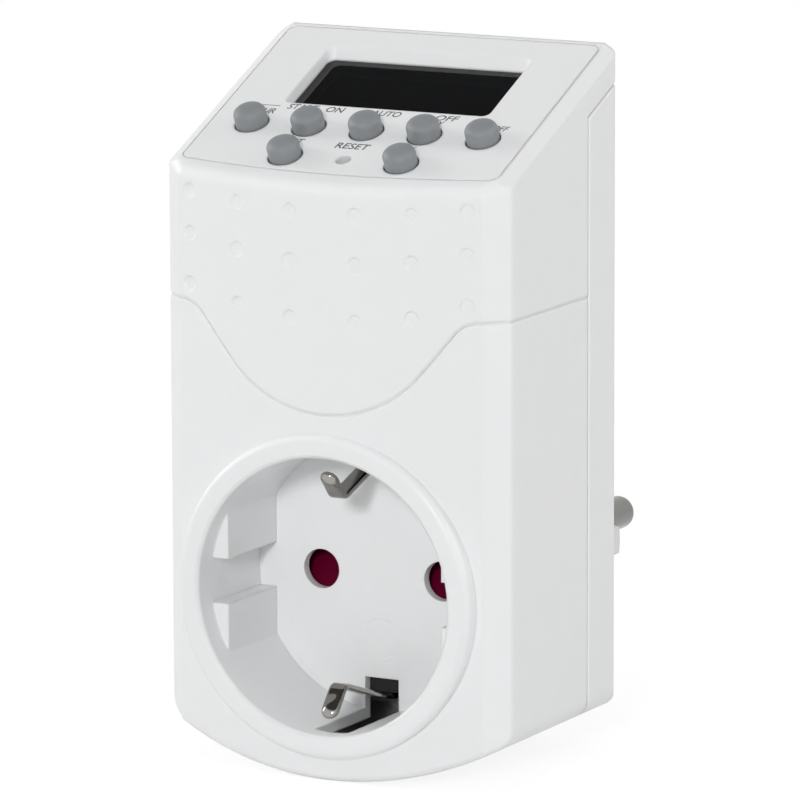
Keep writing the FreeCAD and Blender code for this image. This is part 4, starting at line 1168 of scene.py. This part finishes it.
@dataclass
class ShutterSpring:
    """Coil spring under the shutter's bridge, wound at its packed length; the real shutter squeezes it as it
    slides down.
    """

    turns: float = 8.0
    end_turns: float = 1.0
    end_pitch_share: float = 1.05
    steps_per_turn: int = 28
    wire_sides: int = 12
    wire_diameter: float = 0.35 * MM

    def centre_line(self, height: float) -> tuple[np.ndarray, np.ndarray]:
        """Turning angle and height along the wire.

        The height rises by one wire in each closed end turn and steadily between them.

        Args:
            height: height of the wire's middle line from end to end.

        Returns:
            The angles and the heights above the lower end.
        """
        count = int(self.turns * self.steps_per_turn) + 1
        turn = np.linspace(0.0, self.turns, count)
        closed = self.end_pitch_share * self.wire_diameter
        knots = [0.0, self.end_turns, self.turns - self.end_turns, self.turns]
        rises = [0.0, closed * self.end_turns, height - closed * self.end_turns, height]
        return turn * math.tau, np.interp(turn, knots, rises)

    def build(self, frame: dict, wardrobe: Wardrobe) -> None:
        """Wind the spring in the room of its packed tube.

        The wire is a circle carried along a helix: the centre turns at a fixed radius, and the circle
        lies in the plane of the outward direction and the upward normal of the wire.

        Args:
            wardrobe: the finishes.
        """
        low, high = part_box("shutter_spring")
        wire = self.wire_diameter / 2
        coil = (high.x - low.x) / 2 - wire
        middle = (low + high) / 2
        angle, rise = self.centre_line(high.z - low.z - 2 * wire)
        outward = np.stack([np.cos(angle), np.sin(angle), np.zeros_like(angle)], axis=1)
        centre = outward * coil + np.array([middle.x, middle.y, low.z + wire])
        centre[:, 2] += rise
        along = unit_rows(np.gradient(centre, axis=0))
        upward = np.cross(outward, along)
        round_angle = np.linspace(0.0, math.tau, self.wire_sides + 1)
        ring = (np.cos(round_angle)[None, :, None] * outward[:, None, :]
                + np.sin(round_angle)[None, :, None] * upward[:, None, :]) * wire
        tube = centre[:, None, :] + ring
        ends = [np.repeat(centre[index][None, None, :], self.wire_sides + 1, axis=1) for index in (0, -1)]
        mesh = surface_mesh("shutter_coil", [np.concatenate([ends[0], tube, ends[1]])])
        coil_piece = add_piece("shutter_coil", mesh, wardrobe.materials["spring_steel"])
        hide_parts("shutter_spring")
        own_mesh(coil_piece)


@dataclass
class EarthClips:
    """One plated strip with a sprung clip at each end: round bowed noses and coined rims."""

    width: float = 2.6 * MM
    thickness: float = 0.8 * MM
    rim_round: float = 0.3 * MM
    bow: float = 0.45 * MM
    bend_radius: float = 1.4 * MM
    nose_height: float = 17.2 * MM
    nose_setback: float = 1.9 * MM
    bend_height: float = 13.2 * MM
    bend_setback: float = 5.2 * MM
    root_height: float = 17.3 * MM
    root_run: float = 1.6 * MM
    bow_reach: float = 4.2 * MM
    step: float = 0.35 * MM
    tip_steps: int = 16
    bend_steps: int = 14
    across_steps: int = 16

    def corners(self) -> np.ndarray:
        """Corners of the strip's middle line.

        They follow from the boxes of the ring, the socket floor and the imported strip, and the lower half
        mirrors the upper one.

        Returns:
            Their y and z, from the upper nose round to the lower one.
        """
        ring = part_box("lower_cover")[0].y
        floor_front, floor_back = (corner.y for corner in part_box("socket_floor"))
        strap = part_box("earth_strap")[1]
        outer = strap.z - self.thickness / 2
        back = strap.y - self.thickness / 2
        upper = [(ring + self.nose_setback, self.nose_height), (ring + self.bend_setback, self.bend_height),
                 (floor_front, self.root_height), (floor_back + self.root_run, outer), (back, outer)]
        return np.array(upper + [(y, -z) for y, z in reversed(upper)])

    def middle_line(self) -> tuple[np.ndarray, np.ndarray, np.ndarray]:
        """Points along the strip's middle line.

        Each corner is rounded by a quadratic curve between the points where an arc of the bend radius
        would touch, and the line is then divided again: closely at the noses, evenly between them.

        Returns:
            The distance of each station from the nearer nose, its y and z, and its unit normal.
        """
        corners = self.corners()
        headings = unit_rows(np.diff(corners, axis=0))
        turns = np.arccos(np.clip((headings[:-1] * headings[1:]).sum(axis=1), -1.0, 1.0))
        back_off = (self.bend_radius * np.tan(turns / 2))[:, None, None]
        share = np.linspace(0.0, 1.0, self.bend_steps)[None, :, None]
        knees = corners[1:-1, None, :]
        bends = knees - back_off * ((1.0 - share) ** 2 * headings[:-1, None, :]
                                    - share ** 2 * headings[1:, None, :])
        line = np.concatenate([corners[:1], bends.reshape(-1, 2), corners[-1:]])
        length = run_along(line)[-1]
        half = self.width / 2
        tip = half * (1.0 - np.cos(np.linspace(0.0, math.pi / 2, self.tip_steps)))
        count = int((length - self.width) / self.step)
        middle = np.linspace(half, length - half, count)[1:-1]
        stations = np.concatenate([tip, middle, length - tip[::-1]])
        points = points_at(line, stations)
        heading = unit_rows(np.gradient(points, stations, axis=0))
        normal = np.stack([-heading[:, 1], heading[:, 0]], axis=1)
        return np.minimum(stations, length - stations), points, normal

    def build(self, wardrobe: Wardrobe) -> None:
        """Carry the strip's section along its middle line.

        Across the strip, x runs as the sine of an angle, so that points crowd at the rims. The half
        thickness falls as a quarter circle near the outline, which is straight at the sides and a half
        circle round each nose. The nose's bow is a paraboloid that is level at the outline.

        Args:
            wardrobe: the finishes.
        """
        reach, points, normal = self.middle_line()
        half = self.width / 2
        inside = np.clip(half - reach, 0.0, None)[:, None]
        spread = np.sin(np.linspace(-math.pi / 2, math.pi / 2, self.across_steps + 1))[None, :]
        x = np.sqrt(np.clip(half ** 2 - inside ** 2, 0.0, None)) * spread
        rim_share = np.sqrt(x ** 2 + inside ** 2) / half
        to_rim = np.clip(half * (1.0 - rim_share), 0.0, self.rim_round)
        fall = self.rim_round - np.sqrt(self.rim_round ** 2 - (self.rim_round - to_rim) ** 2)
        height = self.thickness / 2 - fall
        mask = 1.0 - smooth_step(half, self.bow_reach, reach)[:, None]
        shift = -self.bow * mask * (1.0 - rim_share ** 2)
        across = np.concatenate([x, x[:, ::-1], x[:, :1]], axis=1)
        lift = np.concatenate([shift + height, (shift - height)[:, ::-1], (shift + height)[:, :1]], axis=1)
        grid = np.stack([across, points[:, :1] + lift * normal[:, :1],
                         points[:, 1:] + lift * normal[:, 1:]], axis=-1)
        mesh = surface_mesh("earth_clips", [grid])
        strip = add_piece("earth_clips", mesh, wardrobe.materials["plated_clips"])
        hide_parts("earth_strap")


class Socket:
    """The socket's shutter with its carrier and spring, its contacts, screws and earth clips."""

    PIECES = ("shutter", "contact_line", "contact_neutral", "floor_screws")

    def build(self, frame: dict, wardrobe: Wardrobe) -> None:
        """Finish the inner socket pieces, bend the earth clips and wind the shutter's spring.

        Args:
            wardrobe: the finishes.
        """
        wardrobe.dress(*self.PIECES)
        # Painted shade: the carrier gets the near-black finish that darkens the notch behind the lower clip
        wardrobe.dress_as("carrier_painted_shade", "shutter_carrier")
        EarthClips().build(wardrobe)
        ShutterSpring().build(frame, wardrobe)


@dataclass
class CaseScrews:
    """Four self-tapping screws with a domed head and a cross recess, seen from behind."""

    head_radius: float = 2.6 * MM
    head_height: float = 1.7 * MM
    head_edge: float = 0.5 * MM
    dome: float = 0.25 * MM
    recess_reach: float = 1.45 * MM
    recess_half_width: float = 0.38 * MM
    recess_depth: float = 1.1 * MM
    arm_taper_share: float = 0.35
    arm_side_shares: tuple[float, float] = (0.75, 1.15)
    shank_radius: float = 1.35 * MM
    thread_depth: float = 0.3 * MM
    thread_pitch: float = 1.2 * MM
    point_radii: float = 2.5
    point_share: float = 0.25
    sides: int = 96
    head_rings: int = 40
    shank_rings: int = 180

    def head_top(self, radius: np.ndarray, angle: np.ndarray) -> np.ndarray:
        """Height of the head's face over its underside.

        It is a shallow parabola that falls over the edge as a quarter circle, less a cross whose arms
        get shallower towards their ends.

        Args:
            radius: distance from the screw's middle.
            angle: angle round it.

        Returns:
            The heights.
        """
        inner = self.head_radius - self.head_edge
        crown = self.head_height - self.dome * (radius / self.head_radius) ** 2
        over = np.clip((radius - inner) / self.head_edge, 0.0, 1.0)
        fall = self.head_edge * (1.0 - np.sqrt(np.clip(1.0 - over ** 2, 0.0, 1.0)))
        x = np.abs(radius * np.cos(angle))
        z = np.abs(radius * np.sin(angle))
        arms = np.maximum(self.arm(x, z), self.arm(z, x))
        return crown - fall - self.recess_depth * arms

    def arm(self, along: np.ndarray, across: np.ndarray) -> np.ndarray:
        """Share of the recess's depth in one arm: full at the middle, none past its end and sides.

        Args:
            along: distance along the arm.
            across: distance across it.

        Returns:
            The shares.
        """
        length = 1.0 - smooth_step(self.arm_taper_share * self.recess_reach, self.recess_reach, along)
        inner, outer = (share * self.recess_half_width for share in self.arm_side_shares)
        side = 1.0 - smooth_step(inner, outer, across)
        return length * side

    def screw_grids(self, length: float) -> list[np.ndarray]:
        """One screw that lies along Y with the underside of its head at zero.

        The shank's radius is a saw of straight ridges round a helix. It shrinks by a smooth cubic to
        point_share of itself over the last point_radii shank radii.

        Args:
            length: length of the shank.

        Returns:
            The grids of its head, seat, shank and end.
        """
        angle = np.linspace(0.0, math.tau, self.sides + 1)
        radius = self.head_radius * np.linspace(0.0, 1.0, self.head_rings)
        ring, turn = np.meshgrid(radius, angle, indexing="ij")
        top = np.stack([ring * np.cos(turn), self.head_top(ring, turn), ring * np.sin(turn)], axis=-1)
        along, turn = np.meshgrid(np.linspace(0.0, length, self.shank_rings), angle, indexing="ij")
        phase = np.mod(along / self.thread_pitch - turn / math.tau, 1.0)
        ridge = 1.0 - np.abs(2.0 * phase - 1.0)
        point = 1.0 - smooth_step(length - self.point_radii * self.shank_radius, length, along)
        start = smooth_step(0.0, self.thread_pitch, along)
        thread = self.shank_radius - self.thread_depth * (1.0 - ridge) * start
        girth = thread * (self.point_share + (1.0 - self.point_share) * point)
        shank = np.stack([girth * np.cos(turn), -along, girth * np.sin(turn)], axis=-1)
        rim = top[-1]
        seat = rim * (1.0, 0.0, 1.0)
        neck = shank[0]
        tip = np.zeros_like(neck)
        tip[:, 1] = -length
        return [top, np.stack([rim, seat, neck]), shank, np.stack([shank[-1], tip])]

    def build(self, wardrobe: Wardrobe) -> None:
        """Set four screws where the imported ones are, at the corners of their common box.

        Args:
            wardrobe: the finishes.
        """
        low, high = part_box("case_screws")
        head_back = high.y - self.head_height
        grids: list[np.ndarray] = []
        for x in (low.x + self.head_radius, high.x - self.head_radius):
            for z in (low.z + self.head_radius, high.z - self.head_radius):
                grids += [grid + np.array([x, head_back, z]) for grid in self.screw_grids(head_back - low.y)]
        mesh = surface_mesh("case_screws_crossed", grids)
        screws = add_piece("case_screws_crossed", mesh, wardrobe.materials["screw_steel"])
        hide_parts("case_screws")


class PlugSide:
    """The plug's pins and earth strips, and what feeds the power board."""

    PIECES = ("plug_earth_strips", "pin_holder", "feed_strip_line", "feed_strip_neutral")

    def build(self, wardrobe: Wardrobe) -> None:
        """Finish the metal and put in the case screws.

        Args:
            wardrobe: the finishes.
        """
        wardrobe.dress(*self.PIECES)
        wardrobe.dress_as("plated_pins", "plug_pins")
        CaseScrews().build(wardrobe)


class Electronics:
    """Both circuit boards with what stands on them."""

    PIECES = ("control_board", "microcontroller", "crystal", "backup_battery", "board_screws", "power_board",
              "relay", "x2_capacitor", "bridge_rectifier", "smoothing_capacitor", "varistor",
              "dropper_resistor", "ribbon_cable")

    def dress(self, wardrobe: Wardrobe) -> None:
        """Finish the boards and their components."""
        wardrobe.dress(*self.PIECES)


# Studio

@dataclass(frozen=True)
class Softbox:
    """A square lamp that looks at the timer.

    Azimuth is in degrees to the right of the front, and level is what the lamp adds to a white
    surface that faces it.
    """

    name: str
    azimuth: float
    elevation: float
    distance: float
    side: float
    level: float
    in_gloss: bool = True

    def build(self, target: Vector) -> None:
        """Hang the lamp and turn it to the target; its level is watts over the square of pi times distance.

        Args:
            target: the point that it looks at.
        """
        outward = direction(self.azimuth, self.elevation)
        data = bpy.data.lights.new(self.name, "AREA")
        data.shape = "SQUARE"
        data.size = self.side
        data.energy = self.level * (math.pi * self.distance) ** 2
        lamp = bpy.data.objects.new(self.name, data)
        lamp.location = target + outward * self.distance
        lamp.rotation_euler = outward.to_track_quat("Z", "Y").to_euler()
        lamp.visible_glossy = self.in_gloss
        bpy.context.scene.collection.objects.link(lamp)


@dataclass
class Studio:
    """Pale floor, white surroundings, soft lamps and the camera."""

    floor_reach: float = 8.0
    floor_colour: Colour = (0.8, 0.8, 0.8)
    floor_white_share: float = 0.72
    floor_white: float = 1.18
    sky_strength: float = 0.31
    ceiling_start: float = 0.50
    ceiling_end: float = 0.72
    ceiling_level: float = 0.08
    lamps: tuple[Softbox, ...] = (
        Softbox("front_softbox", azimuth=16.0, elevation=18.0, distance=2.5, side=0.35, level=0.40),
        Softbox("right_softbox", azimuth=110.0, elevation=20.0, distance=2.0, side=0.8, level=0.245),
        Softbox("left_softbox", azimuth=-85.0, elevation=20.0, distance=2.0, side=0.8, level=0.31),
        Softbox("top_softbox", azimuth=0.0, elevation=79.0, distance=1.8, side=1.2, level=0.235,
                in_gloss=False),
    )
    camera_place: tuple[float, float, float] = (442.423 * MM, -853.436 * MM, 196.284 * MM)
    camera_azimuth: float = 28.2924
    camera_elevation: float = 10.4690
    camera_roll: float = -0.1786
    focal_pixels: float = 6827.88
    image_pixels: float = 800.0
    sensor_width: float = 36.0
    view_reach: float = 100.0

    def seen_directly(self, tree: Tree) -> bpy.types.NodeSocket:
        """Mask of what the camera sees directly, in a reflection or through a pane.

        Args:
            tree: the tree that the nodes go into.

        Returns:
            The mask.
        """
        path = tree.add("ShaderNodeLightPath")
        direct = tree.math("MAXIMUM", path.outputs["Is Camera Ray"], path.outputs["Is Glossy Ray"])
        return tree.math("MAXIMUM", direct, path.outputs["Is Transmission Ray"])

    def build_floor(self, level: float) -> None:
        """Lay the floor at the timer's lowest point.

        To the eye, in reflections and through panes a share of it glows white, and the rest is matt, so
        that it keeps the timer's shadow.

        Args:
            level: its height.
        """
        reach = self.floor_reach
        corners = [(x * reach, y * reach, level) for x, y in ((-1, -1), (1, -1), (1, 1), (-1, 1))]
        mesh = bpy.data.meshes.new("studio_floor")
        mesh.from_pydata(corners, [], [(0, 1, 2, 3)])
        floor = bpy.data.objects.new("studio_floor", mesh)
        bpy.context.scene.collection.objects.link(floor)
        floor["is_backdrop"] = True
        material = bpy.data.materials.new("studio_floor")
        material.use_nodes = True
        tree = Tree(material.node_tree)
        tree.tree.nodes.clear()
        matt = tree.add("ShaderNodeBsdfDiffuse")
        matt.inputs["Color"].default_value = (*self.floor_colour, 1.0)
        glow = tree.add("ShaderNodeEmission")
        glow.inputs["Strength"].default_value = self.floor_white
        blend = tree.add("ShaderNodeMixShader")
        tree.feed(blend.inputs[0], tree.math("MULTIPLY", self.seen_directly(tree), self.floor_white_share))
        tree.feed(blend.inputs[1], matt.outputs[0])
        tree.feed(blend.inputs[2], glow.outputs[0])
        tree.feed(tree.add("ShaderNodeOutputMaterial").inputs["Surface"], blend.outputs[0])
        mesh.materials.append(material)

    def build_sky(self) -> None:
        """Surround the scene with even light.

        To the eye and through panes it is full white, and reflections see white walls that darken, by
        the height of the direction, to a dim ceiling.
        """
        world = bpy.data.worlds.new("studio")
        bpy.context.scene.world = world
        world.use_nodes = True
        tree = Tree(world.node_tree)
        sky = world.node_tree.nodes["Background"]
        sky.inputs["Color"].default_value = (1.0, 1.0, 1.0, 1.0)
        path = tree.add("ShaderNodeLightPath")
        parts = tree.add("ShaderNodeSeparateXYZ")
        tree.feed(parts.inputs[0], tree.add("ShaderNodeTexCoord").outputs["Generated"])
        height = parts.outputs["Z"]
        walls = tree.ranged(height, self.ceiling_start, self.ceiling_end, 1.0, self.ceiling_level)
        seen = tree.math("MAXIMUM", path.outputs["Is Camera Ray"], path.outputs["Is Transmission Ray"])
        direct = tree.math("MULTIPLY_ADD", seen, 1.0 - self.sky_strength, self.sky_strength)
        mirrored = tree.math("SUBTRACT", walls, self.sky_strength)
        strength = tree.math("MULTIPLY_ADD", path.outputs["Is Glossy Ray"], mirrored, direct)
        tree.feed(sky.inputs["Strength"], strength)

    def build_camera(self) -> None:
        """Set the camera at the viewpoint and turn it by azimuth, elevation and roll."""
        azimuth = math.radians(self.camera_azimuth)
        roll = math.radians(self.camera_roll)
        back = direction(self.camera_azimuth, self.camera_elevation)
        level = Vector((math.cos(azimuth), math.sin(azimuth), 0.0))
        rise = back.cross(level)
        right = level * math.cos(roll) + rise * math.sin(roll)
        above = rise * math.cos(roll) - level * math.sin(roll)
        data = bpy.data.cameras.new("camera")
        data.sensor_width = self.sensor_width
        data.lens = self.focal_pixels / self.image_pixels * self.sensor_width
        data.clip_end = self.view_reach
        camera = bpy.data.objects.new("camera", data)
        turned = Matrix((right, above, back)).transposed().to_4x4()
        camera.matrix_world = Matrix.Translation(self.camera_place) @ turned
        bpy.context.scene.collection.objects.link(camera)
        bpy.context.scene.camera = camera

    def build(self, low: Vector, high: Vector) -> None:
        """Build the whole studio round the timer.

        Args:
            low: lowest corner of the timer's box.
            high: highest corner of the timer's box.
        """
        bpy.context.scene.view_settings.view_transform = "Standard"
        self.build_floor(low.z)
        self.build_sky()
        for lamp in self.lamps:
            lamp.build((low + high) / 2)
        self.build_camera()


def main() -> None:
    """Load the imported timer, dress it, add the fine pieces and set up the studio."""
    logging.basicConfig(level=logging.INFO, format="%(name)s: %(message)s")
    for leftover in list(bpy.data.objects):
        bpy.data.objects.remove(leftover)
    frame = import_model()
    packed_low, packed_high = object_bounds()
    wardrobe = Wardrobe(frame, Effects())
    Housing().build(wardrobe)
    Panel().build(frame, wardrobe)
    Socket().build(frame, wardrobe)
    PlugSide().build(wardrobe)
    Electronics().dress(wardrobe)
    Studio().build(packed_low, packed_high)


if __name__ == "__main__":
    main()
